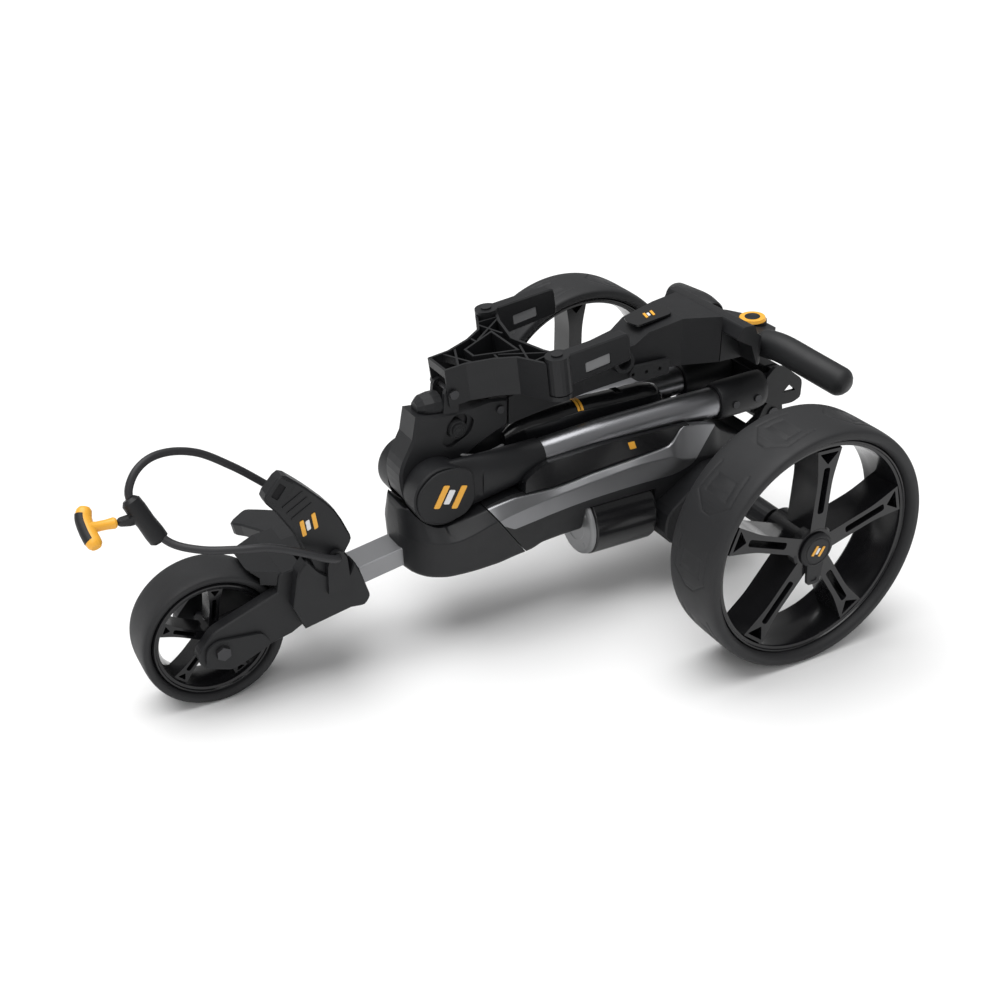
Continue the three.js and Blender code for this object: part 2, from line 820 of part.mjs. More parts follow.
const drumCap = sidePlate(
  [
    [-383, 214, 12],
    [-362, 234, 14],
    [-332, 234, 10],
    [-314, 226, 12],
    [-311, 190, 12],
    [-322, 173, 10],
    [-352, 165, 16],
    [-376, 176, 14],
    [-385, 194, 10],
  ],
  -53,
  -FOLD_PIVOT.halfWidth - GAP,
  { bevel: 1 },
);
addPair("drum_cap", drumCap, MATT_BLACK);
add("fold_pivot_pin", rodY(FOLD_PIVOT.x, FOLD_PIVOT.z, -49, 49, 7, 16), STEEL);

const rearSleeve = loft([
  ellipseRing(28 + GAP, -38, 228, 22, 23),
  ellipseRing(40, -38, 228.5, 23, 24),
  ellipseRing(92, -37, 230, 22, 24.5),
  ellipseRing(103, -36, 230.5, 19, 24),
]);
addPair("rear_sleeve", cut(rearSleeve, leftTube, leftTube.translate([GAP, 0, 0])), MATT_BLACK);

// Yoke: two cheeks with a knuckle between them that turns on the frame pivot.
const CHEEK_SIDE = [
  [104, 214],
  [122, 205],
  [149, 204, 4],
  [162, 209, 4],
  [162, 234, 6],
  [131, 258, 6],
  [116, 260, 4],
  [104, 248],
];
const cheekHole = sidePlate([[132, 221], [142, 231], [153, 221]], -60, 60, { radius: 2 });
const cheek = cut(sidePlate(CHEEK_SIDE.map(([x, z, r]) => [x + GAP, z, r]), -48, -43, { curve: 2 }), cheekHole);
const knuckle = cut(
  join(
    rodY(FRAME_PIVOT.x, FRAME_PIVOT.z, -30, 30, FRAME_PIVOT.radius, 20),
    sidePlate([[112, 194], [138, 194], [142, 246], [131, 256], [112, 256]], -30, 30, { radius: 2 }),
    sidePlate([[104 + GAP, 216], [118, 216], [118, 246], [104 + GAP, 246]], -47.5, 47.5),
    sidePlate([[118, 238], [150, 238], [134, 254], [118, 254]], -47.5, 47.5),
    cheek,
    mirrored(cheek),
  ),
  rodY(FRAME_PIVOT.x, FRAME_PIVOT.z, -60, 60, 5 + GAP, 16),
);
add("rear_yoke", knuckle, MATT_BLACK);

// ---- handle section: the joint member, the stem, the bag bracket and the T-handle
const MEMBER_SIDE = [
  [-367, 289],
  [-372, 262],
  [-391, 226, 14],
  [-386, 186, 16],
  [-350, 164, 30],
  [-318, 186, 16],
  [-312, 222, 10],
  [-291, 236],
  [-268, 247],
  [-250, 254],
  [-250, 288],
  [-274, 291],
  [-318, 285],
];
const SLOT = [
  [-337, 250, 6],
  [-327, 242, 6],
  [-300, 256, 6],
  [-294, 272, 6],
  [-305, 281, 5],
  [-322, 281, 6],
];
const latchSlot = sidePlate(SLOT, -30, -15.5);
// A round bar along y that slides along the latch's travel sweeps this.
function latchSweep(radius, y0, y1) {
  const [dx, dz] = LATCH.along;
  const end = [LATCH.x + LATCH.travel * dx, LATCH.z + LATCH.travel * dz];
  const side = [-dz * radius, dx * radius];
  const between = [
    [LATCH.x - side[0], LATCH.z - side[1]],
    [end[0] - side[0], end[1] - side[1]],
    [end[0] + side[0], end[1] + side[1]],
    [LATCH.x + side[0], LATCH.z + side[1]],
  ];
  return join(
    rodY(LATCH.x, LATCH.z, y0, y1, radius, 32),
    rodY(...end, y0, y1, radius, 32),
    sidePlate(between, y0, y1),
  );
}
const latchRoom = latchSweep(LATCH.radius + 1, -30, -11.6);
const hingeEar = sidePlate([[-333, 284], [-313, 284], [-314, 316, 8], [-330, 316, 8]], -18, -12, { curve: 2 });
const bracketPinBore = rodY(BRACKET_HINGE.x, BRACKET_HINGE.z, -40, 40, BRACKET_HINGE.pin + GAP, 12);
const memberDome = loft([
  ellipseRing(-360, 0, 292, 9, 7, 12),
  ellipseRing(-353, 0, 293, 15, 12, 12),
  ellipseRing(-342, 0, 293, 17, 14, 12),
  ellipseRing(-332, 0, 293, 17, 14, 12),
]);
const member = cut(
  join(sidePlate(MEMBER_SIDE, -20, 20, { bevel: 3 }), memberDome, hingeEar, mirrored(hingeEar)),
  rodY(FOLD_PIVOT.x, FOLD_PIVOT.z, -60, 60, 7 + GAP, 16),
  latchSlot,
  latchRoom,
  bracketPinBore,
);
add("joint_member", member, MATT_BLACK);
const latch = join(
  rodY(LATCH.x, LATCH.z, -23.5, -12, LATCH.radius, 24),
  rodY(LATCH.x, LATCH.z, -25.5, -23.5, LATCH.radius - 3.5, 20),
);
add("latch_knob", latch, MATT_BLACK);

const STEM_SIDE = [
  [-250 + GAP, 254],
  [-222, 259],
  [-126, 275],
  [-60, 285],
  [26, 286],
  [26, 344],
  [-20, 345],
  [-66, 335],
  [-84, 322],
  [-126, 314],
  [-170, 308],
  [-205, 299],
  [-250 + GAP, 288],
];
const STEM_TOP = [
  [-260, -19],
  [-150, -20],
  [-90, -26],
  [-20, -33],
  [26, -48],
  [26, 48],
  [-20, 33],
  [-90, 26],
  [-150, 20],
  [-260, 19],
];
const stem = sidePlate(STEM_SIDE, -60, 60).intersect(topPlate(STEM_TOP, 200, 400));
const socketBore = rod([-105, -26, 307], [-105, -60, 311], 9, 16);
const socketBoss = rod([-105, -10, 305], [-105, -38, 309], 14, 20);
const accessoryHoles = [-92, -73, -54].map((x) => rodY(x, 290, -60, -24, 2.4, 10));
add("stem", cut(join(stem, socketBoss), socketBore), MATT_BLACK);
const accessoryPlate = cut(
  sidePlate(
    [
      [-99, 290, 6],
      [-92, 300],
      [-40, 300],
      [-40, 281],
      [-84, 279, 5],
    ],
    -38,
    -33 - GAP,
    { radius: 2 },
  ),
  ...accessoryHoles,
);
add("accessory_plate", accessoryPlate, MATT_BLACK);
const BADGE = [[-26, -16, 7], [24, -16, 7], [28, 0], [24, 16, 7], [-26, 16, 7], [-29, 0]];
const badgePad = topPlate(BADGE, 0, 2.5).rotate([0, -8, 0]).translate([-48, 0, 341.8]);
add("badge_pad", badgePad, GLOSS_BLACK);

// Console: a wide hood at the front that narrows behind, with the display panel and the dial on its slope
const CONSOLE_SIDE = [
  [27 + GAP, 324, 2],
  [37, 339, 3],
  [52, 338, 2],
  [57, 327],
  [92, 307.6],
  [133, 301.8, 4],
  [133, 289, 6],
  [118, 283, 6],
  [80, 283],
  [60, 286],
  [50, 312],
];
const CONSOLE_TOP = [
  [27 + GAP, -77, 4],
  [66, -77, 6],
  [72, -52],
  [106, -51, 8],
  [136, -18, 10],
  [136, 18, 10],
  [106, 51, 8],
  [72, 52],
  [66, 77, 6],
  [27 + GAP, 77, 4],
];
const onSlope = (made) => pitched(made, DIAL.tilt, 0, 0).translate([DIAL.x, 0, DIAL.z]);
const consoleCore = box(26 + GAP, 60, -48, 48, 286, 324);
const consoleSides = join(sidePlate(CONSOLE_SIDE, -80, 80), consoleCore);
const consoleBody = consoleSides.intersect(topPlate(CONSOLE_TOP, 270, 350));
const dialSeat = onSlope(rod([0, 0, -1], [0, 0, 30], DIAL.radius + 1.2, 24));
add("handle_console", cut(consoleBody, dialSeat), MATT_BLACK);
const PANEL_SLOPE = Math.atan2(327 - 307.6, 92 - 57);
const panelOutline = [
  [2, -30, 3],
  [34, -22, 3],
  [34, 22, 3],
  [2, 30, 3],
];
const displayPanel = pitched(topPlate(panelOutline, GAP, 1.8), PANEL_SLOPE, 0, 0).translate([57, 0, 327]);
add("display_panel", displayPanel, GLOSS_BLACK);
add("dial_base", onSlope(rod([0, 0, GAP - 1], [0, 0, 5], DIAL.radius + 0.8, 24)), MATT_BLACK);
add("dial_knob", onSlope(rod([0, 0, 5 + GAP], [0, 0, 9], DIAL.radius, 24, DIAL.radius - 1.5)), AMBER);

function grip() {
  const path = [
    [89, -52.6, 300],
    [94, -80, 301.5],
    [103, -120, 295],
    [117, -167, 284.5],
  ];
  const end = rod([117, -167, 284.5], [118.8, -173, 283.2], 17.5, 16, 13);
  return cut(join(tube(path, 17.5, 16, 6), end), box(60, 130, -52.4, 0, 260, 340));
}
addPair("grip", grip(), RUBBER);

// ---- upper bag bracket: a wishbone moulding, open at the top, with ribs between its two skins.
// It is drawn level about its neck and then tilted.
const BRACKET = { x: -323, z: 296, height: 46, wall: 3.2 };
const WISHBONE = [
  [-326, -21],
  [-300, -22],
  [-270, -33],
  [-249, -47],
  [-236, -74, 6],
  [-228, -92, 6],
  [-206, -76, 4],
  [-216, -50],
  [-227, 0],
];
const wishbone = [...WISHBONE, ...WISHBONE.slice(0, -1).map(([x, y, r = 0]) => [x, -y, r]).reverse()];

// The outline moved inwards by a distance, corner by corner.
function inset(points, distance) {
  return points.map(([u, v], i) => {
    const here = new THREE.Vector2(u, v);
    const before = here.clone().sub(new THREE.Vector2(...points.at(i - 1))).normalize();
    const after = new THREE.Vector2(...points[(i + 1) % points.length]).sub(here).normalize();
    const normalA = new THREE.Vector2(-before.y, before.x);
    const normalB = new THREE.Vector2(-after.y, after.x);
    const shift = normalA.clone().add(normalB).normalize();
    shift.multiplyScalar(distance / Math.max(0.35, shift.dot(normalA)));
    return [u + shift.x, v + shift.y];
  });
}

const TRIANGLE = [
  [-285, -11],
  [-237, -33],
  [-237, 33],
  [-285, 11],
];
const flat = (points) => points.map(([u, v]) => [u, v]);
const bracketBlock = topPlate(wishbone, 0, BRACKET.height);
const bracketPocket = topPlate(inset(flat(wishbone), BRACKET.wall), 4, BRACKET.height + 5);
const triangleWall = cut(
  topPlate(TRIANGLE, 0, BRACKET.height),
  topPlate(inset(TRIANGLE, 2.6), 4, BRACKET.height + 5),
);
const ribLines = [
  [-312, -30, -288, 30],
  [-312, 30, -288, -30],
  [-268, -60, -262, -10],
  [-268, 60, -262, 10],
  [-244, -70, -230, -20],
  [-244, 70, -230, 20],
  [-260, -24, -200, -70],
  [-260, 24, -200, 70],
  [-245, -66, -205, -62],
  [-245, 66, -205, 62],
];
const ribs = ribLines.map(([x0, y0, x1, y1]) => {
  const along = new THREE.Vector2(x1 - x0, y1 - y0);
  const side = new THREE.Vector2(-along.y, along.x).setLength(1.2);
  return topPlate(
    [
      [x0 - side.x, y0 - side.y],
      [x1 - side.x, y1 - side.y],
      [x1 + side.x, y1 + side.y],
      [x0 + side.x, y0 + side.y],
    ],
    0,
    BRACKET.height - 1,
  );
});
const ribNet = join(...ribs).intersect(bracketBlock);
const triangleVoid = topPlate(inset(TRIANGLE, 2.6), 4, BRACKET.height + 5);
const level = (made) => pitched(made.translate([0, 0, BRACKET.z]), -BRACKET_TILT, BRACKET.x, BRACKET.z);
const aboutArmHinge = (z0, z1, radius, sides) =>
  rod([ARM_HINGE.x, -ARM_HINGE.y, z0], [ARM_HINGE.x, -ARM_HINGE.y, z1], radius, sides);
const hingeClearance = aboutArmHinge(0, 80, ARM_HINGE.radius + 1, 20);
const pinClearance = aboutArmHinge(-5, 10, 4 + GAP, 12);
const hingeLug = cut(aboutArmHinge(0, 5, 13, 20), pinClearance);
const legWindow = box(-345, -300, -18.8, 18.8, -5, 36);
let bracket = cut(join(cut(bracketBlock, bracketPocket), cut(ribNet, triangleVoid), triangleWall), legWindow);
bracket = cut(bracket, hingeClearance.translate([0, 0, 5.5]), mirrored(hingeClearance).translate([0, 0, 5.5]));
bracket = cut(join(bracket, hingeLug, mirrored(hingeLug)), pinClearance, mirrored(pinClearance));
add("bag_bracket", cut(level(bracket).translate([0, 0, -2]), bracketPinBore), MATT_BLACK);
const bracketPin = join(
  rodY(BRACKET_HINGE.x, BRACKET_HINGE.z, -24, 24, BRACKET_HINGE.pin, 12),
  rodY(BRACKET_HINGE.x, BRACKET_HINGE.z, -26, -23.2, 5.5, 12),
  rodY(BRACKET_HINGE.x, BRACKET_HINGE.z, 23.2, 26, 5.5, 12),
);
add("bracket_pin", bracketPin, STEEL);

// Bag arms: a hinge barrel and a windowed blade, with a soft pad in the window.
const ARM_LENGTH = 90;
const PAD_WINDOW = { from: 30, to: 63, low: 20, height: 13, rise: 1.5 };
function padOutline(gap) {
  const { from, to, low, height, rise } = PAD_WINDOW;
  return [
    [ARM_HINGE.x + from + gap, low + gap],
    [ARM_HINGE.x + to - gap, low + rise + gap],
    [ARM_HINGE.x + to - gap, low + rise + height - gap],
    [ARM_HINGE.x + from + gap, low + height - gap],
  ];
}
function bagArm() {
  const { x, y, radius } = ARM_HINGE;
  const barrel = aboutArmHinge(6, 50, radius, 20);
  const blade = sidePlate(
    [
      [x + 4, 12],
      [x + ARM_LENGTH, 16, 5],
      [x + ARM_LENGTH, 50, 7],
      [x + 4, 50],
    ],
    -y - 8,
    -y + 8,
    { bevel: 1.5 },
  );
  const window = sidePlate(padOutline(0), -y - 20, -y + 20, { radius: 2 });
  const bore = aboutArmHinge(-5, 70, 4 + GAP, 12);
  return cut(join(barrel, blade), window, bore);
}
addPair("bag_arm", level(bagArm()).translate([0, 0, -1]), MATT_BLACK);
const padSolid = sidePlate(padOutline(GAP), -ARM_HINGE.y - 6.6, -ARM_HINGE.y + 6.6, { radius: 2 });
addPair("arm_pad", level(padSolid).translate([0, 0, -1]), PAD_GREY);
const armPin = join(aboutArmHinge(2, 51, 4, 12), aboutArmHinge(50.4, 52, 6.5, 16));
addPair("arm_pin", level(armPin).translate([0, 0, -1]), STEEL);

const root = new THREE.Group();
root.add(trolley);
export default root;
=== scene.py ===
# A compact electric golf trolley, folded. The CAD model is the frame; this script adds the finished surfaces.
import math
import bmesh
import bpy
from mathutils import Matrix, Vector


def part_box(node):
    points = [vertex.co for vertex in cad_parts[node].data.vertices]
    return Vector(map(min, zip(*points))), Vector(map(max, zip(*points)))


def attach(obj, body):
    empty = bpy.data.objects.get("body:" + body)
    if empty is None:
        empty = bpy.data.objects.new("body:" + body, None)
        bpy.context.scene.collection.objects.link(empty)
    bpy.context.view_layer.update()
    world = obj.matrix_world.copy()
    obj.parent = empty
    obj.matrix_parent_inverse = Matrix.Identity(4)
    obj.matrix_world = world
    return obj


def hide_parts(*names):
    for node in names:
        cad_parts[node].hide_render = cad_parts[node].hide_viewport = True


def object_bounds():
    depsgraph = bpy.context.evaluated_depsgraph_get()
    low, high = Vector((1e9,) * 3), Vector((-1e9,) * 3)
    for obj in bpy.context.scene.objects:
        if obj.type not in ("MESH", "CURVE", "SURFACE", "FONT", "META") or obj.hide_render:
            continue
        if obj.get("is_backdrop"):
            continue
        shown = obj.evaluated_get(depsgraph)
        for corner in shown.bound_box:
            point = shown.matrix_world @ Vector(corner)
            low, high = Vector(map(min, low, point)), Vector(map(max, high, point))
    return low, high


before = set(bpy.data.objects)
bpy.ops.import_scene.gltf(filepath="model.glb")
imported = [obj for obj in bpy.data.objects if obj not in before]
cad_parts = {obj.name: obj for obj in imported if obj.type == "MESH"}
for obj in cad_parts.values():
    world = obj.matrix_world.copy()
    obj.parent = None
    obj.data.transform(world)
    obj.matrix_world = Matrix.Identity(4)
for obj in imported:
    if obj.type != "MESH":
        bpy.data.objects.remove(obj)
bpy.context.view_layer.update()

SCENE = bpy.context.scene

# Sizes are in millimetres, x from the rear axle, as in the CAD model. TO_ROW turns them into the row frame,
# which is in metres.
MM_PER_M = 1000
AXLE_LOW, AXLE_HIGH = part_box("drive_axle")
REAR_X = (AXLE_LOW[0] + AXLE_HIGH[0]) / 2
TO_ROW = Matrix.Translation((REAR_X, 0, 0)) @ Matrix.Scale(1 / MM_PER_M, 4)


def row(x, y, z):
    return TO_ROW @ Vector((x, y, z))


# ---- camera: in front, to the left and above, looking to the rear, the right and down
CAMERA_AT = (-943.4, -1256.8, 942.1)
CAMERA_YAW, CAMERA_PITCH = math.radians(28.866), math.radians(29.045)
SENSOR_WIDTH, FOCAL_LENGTH = 36, 49.1
camera_data = bpy.data.cameras.new("camera")
camera = bpy.data.objects.new("camera", camera_data)
SCENE.collection.objects.link(camera)
SCENE.camera = camera
camera_data.sensor_width = SENSOR_WIDTH
camera_data.lens = FOCAL_LENGTH
camera.location = row(*CAMERA_AT)
looking = Vector((math.sin(CAMERA_YAW) * math.cos(CAMERA_PITCH),
                  math.cos(CAMERA_YAW) * math.cos(CAMERA_PITCH), -math.sin(CAMERA_PITCH)))
camera.rotation_mode = "QUATERNION"
camera.rotation_quaternion = looking.to_track_quat("-Z", "Y")


# ---- materials
GRAIN_HEIGHT = 0.0004
ROUGHNESS_NOISE = 45
COAT_ROUGHNESS = 0.1


def material(name, color, rough, metallic=0.0, grain=(900, 0.12), blotch=(6, 0.12), rough_spread=0.08,
             specular=0.5, coat=0.0, brushed=None):
    """A shader with a fine grain in its surface, slow colour variation and uneven roughness.

    grain and blotch are (noise scale, strength); brushed stretches the grain along x.
    """
    made = bpy.data.materials.new(name)
    made.use_nodes = True
    nodes, links = made.node_tree.nodes, made.node_tree.links
    shader = nodes["Principled BSDF"]
    shader.inputs["Metallic"].default_value = metallic
    shader.inputs["Specular IOR Level"].default_value = specular
    shader.inputs["Coat Weight"].default_value = coat
    shader.inputs["Coat Roughness"].default_value = COAT_ROUGHNESS
    place = nodes.new("ShaderNodeTexCoord")

    def noise(scale, detail, stretch=None):
        tex = nodes.new("ShaderNodeTexNoise")
        tex.inputs["Scale"].default_value = scale
        tex.inputs["Detail"].default_value = detail
        if stretch:
            mapping = nodes.new("ShaderNodeMapping")
            mapping.inputs["Scale"].default_value = stretch
            links.new(place.outputs["Object"], mapping.inputs["Vector"])
            links.new(mapping.outputs["Vector"], tex.inputs["Vector"])
        else:
            links.new(place.outputs["Object"], tex.inputs["Vector"])
        return tex

    tone = nodes.new("ShaderNodeMix")
    tone.data_type = "RGBA"
    tone.inputs["A"].default_value = (*[c * (1 - blotch[1]) for c in color], 1)
    tone.inputs["B"].default_value = (*[min(1, c * (1 + blotch[1])) for c in color], 1)
    links.new(noise(blotch[0], 4).outputs["Fac"], tone.inputs["Factor"])
    links.new(tone.outputs["Result"], shader.inputs["Base Color"])
    spread = nodes.new("ShaderNodeMapRange")
    spread.inputs["To Min"].default_value = max(0.02, rough - rough_spread)
    spread.inputs["To Max"].default_value = min(1, rough + rough_spread)
    links.new(noise(ROUGHNESS_NOISE, 5, brushed).outputs["Fac"], spread.inputs["Value"])
    links.new(spread.outputs["Result"], shader.inputs["Roughness"])
    bump = nodes.new("ShaderNodeBump")
    bump.inputs["Strength"].default_value = grain[1]
    bump.inputs["Distance"].default_value = GRAIN_HEIGHT
    links.new(noise(grain[0], 3, brushed).outputs["Fac"], bump.inputs["Height"])
    links.new(bump.outputs["Normal"], shader.inputs["Normal"])
    return made


BLACK = material("moulded_black", (0.0105, 0.0108, 0.012), 0.46, grain=(1300, 0.14), specular=0.3)
SOFT_BLACK = material("soft_black", (0.013, 0.0134, 0.0145), 0.58, grain=(1800, 0.18), specular=0.3)
DEEP = material("deep_black", (0.005, 0.005, 0.006), 0.6, specular=0.2)
GLOSS = material("gloss_black", (0.007, 0.0072, 0.008), 0.24, grain=(300, 0.015), rough_spread=0.04,
                 specular=0.35, coat=0.15)
RIM_BLACK = material("rim_black", (0.007, 0.007, 0.008), 0.2, grain=(700, 0.03), rough_spread=0.05,
                     specular=0.4)
TYRE = material("tyre_rubber", (0.017, 0.0172, 0.0185), 0.6, grain=(1100, 0.2), blotch=(9, 0.12),
                specular=0.35)
RUBBER = material("strap_rubber", (0.02, 0.02, 0.022), 0.5, grain=(1500, 0.2), specular=0.4)
GRIP_RUBBER = material("grip_rubber", (0.013, 0.0134, 0.0145), 0.52, grain=(1500, 0.25), specular=0.35)
GUNMETAL = material("satin_grey_metal", (0.27, 0.272, 0.285), 0.33, metallic=1.0, grain=(160, 0.015),
                    brushed=(3, 26, 26), rough_spread=0.04)
SILVER = material("silver_panel", (0.23, 0.232, 0.24), 0.36, metallic=1.0, grain=(1500, 0.01),
                  blotch=(3, 0.03), rough_spread=0.03)
BAR_METAL = material("anodised_bar", (0.26, 0.262, 0.27), 0.42, metallic=1.0, grain=(160, 0.02),
                     brushed=(3, 26, 26), rough_spread=0.05)
BLACK_STEEL = material("black_oxide_steel", (0.05, 0.05, 0.053), 0.35, metallic=0.8, grain=(500, 0.04))
CAP_GREY = material("cap_grey", (0.24, 0.242, 0.247), 0.45, metallic=0.5, grain=(900, 0.08))
AMBER = material("amber_plastic", (0.86, 0.42, 0.04), 0.38, grain=(1200, 0.12), blotch=(12, 0.06))
WHITE = material("white_print", (0.75, 0.75, 0.76), 0.4, grain=(1200, 0.05), blotch=(12, 0.04))
PAD = material("pad_grey", (0.2, 0.202, 0.206), 0.7, grain=(900, 0.3), specular=0.3)
PAPER = material("floor_paper", (0.86, 0.86, 0.86), 0.9, grain=(60, 0.01), blotch=(1, 0.01), specular=0.1)


# ---- solids
CORNER_SHARE = 0.46
SHARP_BELOW = 0.05


def corner_points(points, steps, radius=0.0):
    """An outline with each corner rounded over its own third value or the common radius.

    A rounding takes at most CORNER_SHARE of the shorter side, and below SHARP_BELOW the corner stays sharp.
    """
    made = []
    for i, point in enumerate(points):
        corner = Vector(point[:2])
        own = point[2] if len(point) > 2 else radius
        before = Vector(points[i - 1][:2]) - corner
        after = Vector(points[(i + 1) % len(points)][:2]) - corner
        own = min(own, CORNER_SHARE * before.length, CORNER_SHARE * after.length)
        if own < SHARP_BELOW:
            made.append(corner)
            continue
        a, b = corner + before.normalized() * own, corner + after.normalized() * own
        for s in range(steps + 1):
            t = s / steps
            made.append(a * (1 - t) ** 2 + corner * 2 * t * (1 - t) + b * t * t)
    return made


def prism(points, axis, low, high, radius=0.0, steps=5):
    """A flat shape, drawn square to the axis, that runs from low to high along it."""
    place = {"y": lambda u, v, w: (u, w, v), "z": lambda u, v, w: (u, v, w)}[axis]
    bm = bmesh.new()
    flat = corner_points(points, steps, radius)
    rings = [[bm.verts.new(place(p.x, p.y, w)) for p in flat] for w in (low, high)]
    bm.faces.new(rings[0])
    bm.faces.new(rings[1][::-1])
    count = len(flat)
    for i in range(count):
        j = (i + 1) % count
        bm.faces.new((rings[0][i], rings[1][i], rings[1][j], rings[0][j]))
    return bm


def loft(rings):
    """A closed skin through rings of points, with a face over each end."""
    bm = bmesh.new()
    made = [[bm.verts.new(p) for p in ring] for ring in rings]
    count = len(rings[0])
    for a, b in zip(made, made[1:]):
        for i in range(count):
            j = (i + 1) % count
            bm.faces.new((a[i], a[j], b[j], b[i]))
    bm.faces.new(made[0][::-1])
    bm.faces.new(made[-1])
    return bm


def circle(centre, side, other, radius, segments):
    """The points of a circle in the plane of two unit vectors."""
    return [centre + (side * math.cos(a) + other * math.sin(a)) * radius
            for a in (2 * math.pi * k / segments for k in range(segments))]


def around_y(outlines):
    """A closed ring about a line along y, from one closed outline of points for each turn step."""
    bm = bmesh.new()
    rings = [[bm.verts.new(p) for p in outline] for outline in outlines]
    count = len(rings[0])
    for a, b in zip(rings, rings[1:] + rings[:1]):
        for i in range(count):
            j = (i + 1) % count
            bm.faces.new((a[i], b[i], b[j], a[j]))
    return bm


def basis(direction):
    """A unit vector along a direction, and two square to it."""
    along = Vector(direction).normalized()
    side = along.orthogonal().normalized()
    return along, side, along.cross(side)


SMALLEST_RADIUS = 0.01


def turned(profile, start, direction, segments):
    """A shape turned about a line: the profile is (radius, distance along the line), from end to end."""
    along, side, other = basis(direction)
    return loft([circle(Vector(start) + along * at, side, other, max(radius, SMALLEST_RADIUS), segments)
                 for radius, at in profile])


def ring_of(profile, centre, segments):
    """A closed ring about a line along y, from a closed profile of (radius, y)."""
    cx, cy, cz = centre
    turns = [2 * math.pi * k / segments for k in range(segments)]
    return around_y([[(cx + r * math.cos(a), cy + y, cz + r * math.sin(a)) for r, y in profile]
                     for a in turns])


FINE_STEPS = 16


def spline(points, steps):
    """A smooth centripetal curve through the points, cut into even steps."""
    pts = [Vector(p) for p in points]
    pts = [pts[0] * 2 - pts[1], *pts, pts[-1] * 2 - pts[-2]]
    fine = []
    for i in range(1, len(pts) - 2):
        p0, p1, p2, p3 = pts[i - 1:i + 3]
        t1 = (p1 - p0).length ** 0.5
        t2 = t1 + (p2 - p1).length ** 0.5
        t3 = t2 + (p3 - p2).length ** 0.5
        for s in range(FINE_STEPS):
            t = t1 + (t2 - t1) * s / FINE_STEPS
            a1 = p0 * (t1 - t) / t1 + p1 * t / t1
            a2 = p1 * (t2 - t) / (t2 - t1) + p2 * (t - t1) / (t2 - t1)
            a3 = p2 * (t3 - t) / (t3 - t2) + p3 * (t - t2) / (t3 - t2)
            b1 = a1 * (t2 - t) / t2 + a2 * t / t2
            b2 = a2 * (t3 - t) / (t3 - t1) + a3 * (t - t1) / (t3 - t1)
            fine.append(b1 * (t2 - t) / (t2 - t1) + b2 * (t - t1) / (t2 - t1))
    fine.append(pts[-2])
    total = sum((b - a).length for a, b in zip(fine, fine[1:]))
    out, run, i = [fine[0]], 0.0, 0
    for k in range(1, steps):
        goal = total * k / steps
        while run + (fine[i + 1] - fine[i]).length < goal:
            run += (fine[i + 1] - fine[i]).length
            i += 1
        span = (fine[i + 1] - fine[i]).length
        out.append(fine[i].lerp(fine[i + 1], (goal - run) / span))
    out.append(fine[-1])
    return out


def filled_in(rows, step):
    """More rows between the given ones, smooth in every column and never past a given value."""
    columns = list(zip(*rows))
    at = columns[0]

    def slopes(values):
        rises = [(b - a) / (q - p) for a, b, p, q in zip(values, values[1:], at, at[1:])]
        inner = [2 * a * b / (a + b) if a * b > 0 else 0.0 for a, b in zip(rises, rises[1:])]
        return [rises[0], *inner, rises[-1]]

    tangents = [slopes(values) for values in columns[1:]]
    made = []
    for i in range(len(at) - 1):
        span = at[i + 1] - at[i]
        parts = max(1, round(span / step))
        for k in range(parts):
            t = k / parts
            row_made = [at[i] + span * t]
            for values, tangent in zip(columns[1:], tangents):
                a, b = values[i], values[i + 1]
                bend = tangent[i] * (t ** 3 - 2 * t * t + t) + tangent[i + 1] * (t ** 3 - t * t)
                row_made.append(a * (2 * t ** 3 - 3 * t * t + 1) + b * (3 * t * t - 2 * t ** 3) + span * bend)
            made.append(tuple(row_made))
    return [*made, tuple(rows[-1])]


def swept(points, radii, segments):
    """A round bar along the points, with a radius at each."""
    ahead, behind = [*points[1:], points[-1]], [points[0], *points[:-1]]
    tangents = [(a - b).normalized() for a, b in zip(ahead, behind)]
    side = tangents[0].orthogonal().normalized()
    rings = []
    for point, tangent, radius in zip(points, tangents, radii):
        side = (side - tangent * side.dot(tangent)).normalized()
        rings.append(circle(point, side, tangent.cross(side), radius, segments))
    return loft(rings)


def joined(*bms):
    """The shapes as one mesh of separate shells."""
    first = bms[0]
    for bm in bms[1:]:
        holder = bpy.data.meshes.new("holder")
        bm.to_mesh(holder)
        bm.free()
        first.from_mesh(holder)
        bpy.data.meshes.remove(holder)
    return first


def unchanged(bm):
    return bm


def mirrored(bm):
    """The shape on the other side of the middle plane."""
    bmesh.ops.transform(bm, matrix=Matrix.Scale(-1, 4, (0, 1, 0)), verts=bm.verts)
    bmesh.ops.reverse_faces(bm, faces=bm.faces)
    return bm


def moved(bm, matrix):
    bmesh.ops.transform(bm, matrix=matrix, verts=bm.verts)
    return bm


def as_object(bm, name="temp"):
    """The shape as an object in the scene; the shape itself is used up."""
    bmesh.ops.recalc_face_normals(bm, faces=bm.faces)
    mesh = bpy.data.meshes.new(name)
    bm.to_mesh(mesh)
    bm.free()
    made = bpy.data.objects.new(name, mesh)
    SCENE.collection.objects.link(made)
    return made


def settled(obj):
    """The object's modifiers, made part of its mesh."""
    bpy.context.view_layer.update()
    graph = bpy.context.evaluated_depsgraph_get()
    mesh = bpy.data.meshes.new_from_object(obj.evaluated_get(graph))
    obj.modifiers.clear()
    obj.data = mesh
    return obj


def smoothed(bm, levels):
    """The shape after subdivision."""
    obj = as_object(bm)
    modifier = obj.modifiers.new("smooth", "SUBSURF")
    modifier.levels = modifier.render_levels = levels
    return from_object(settled(obj))


def from_object(obj):
    """The object's mesh as a shape; the object itself is removed."""
    bm = bmesh.new()
    bm.from_mesh(obj.data)
    bpy.data.objects.remove(obj)
    return bm


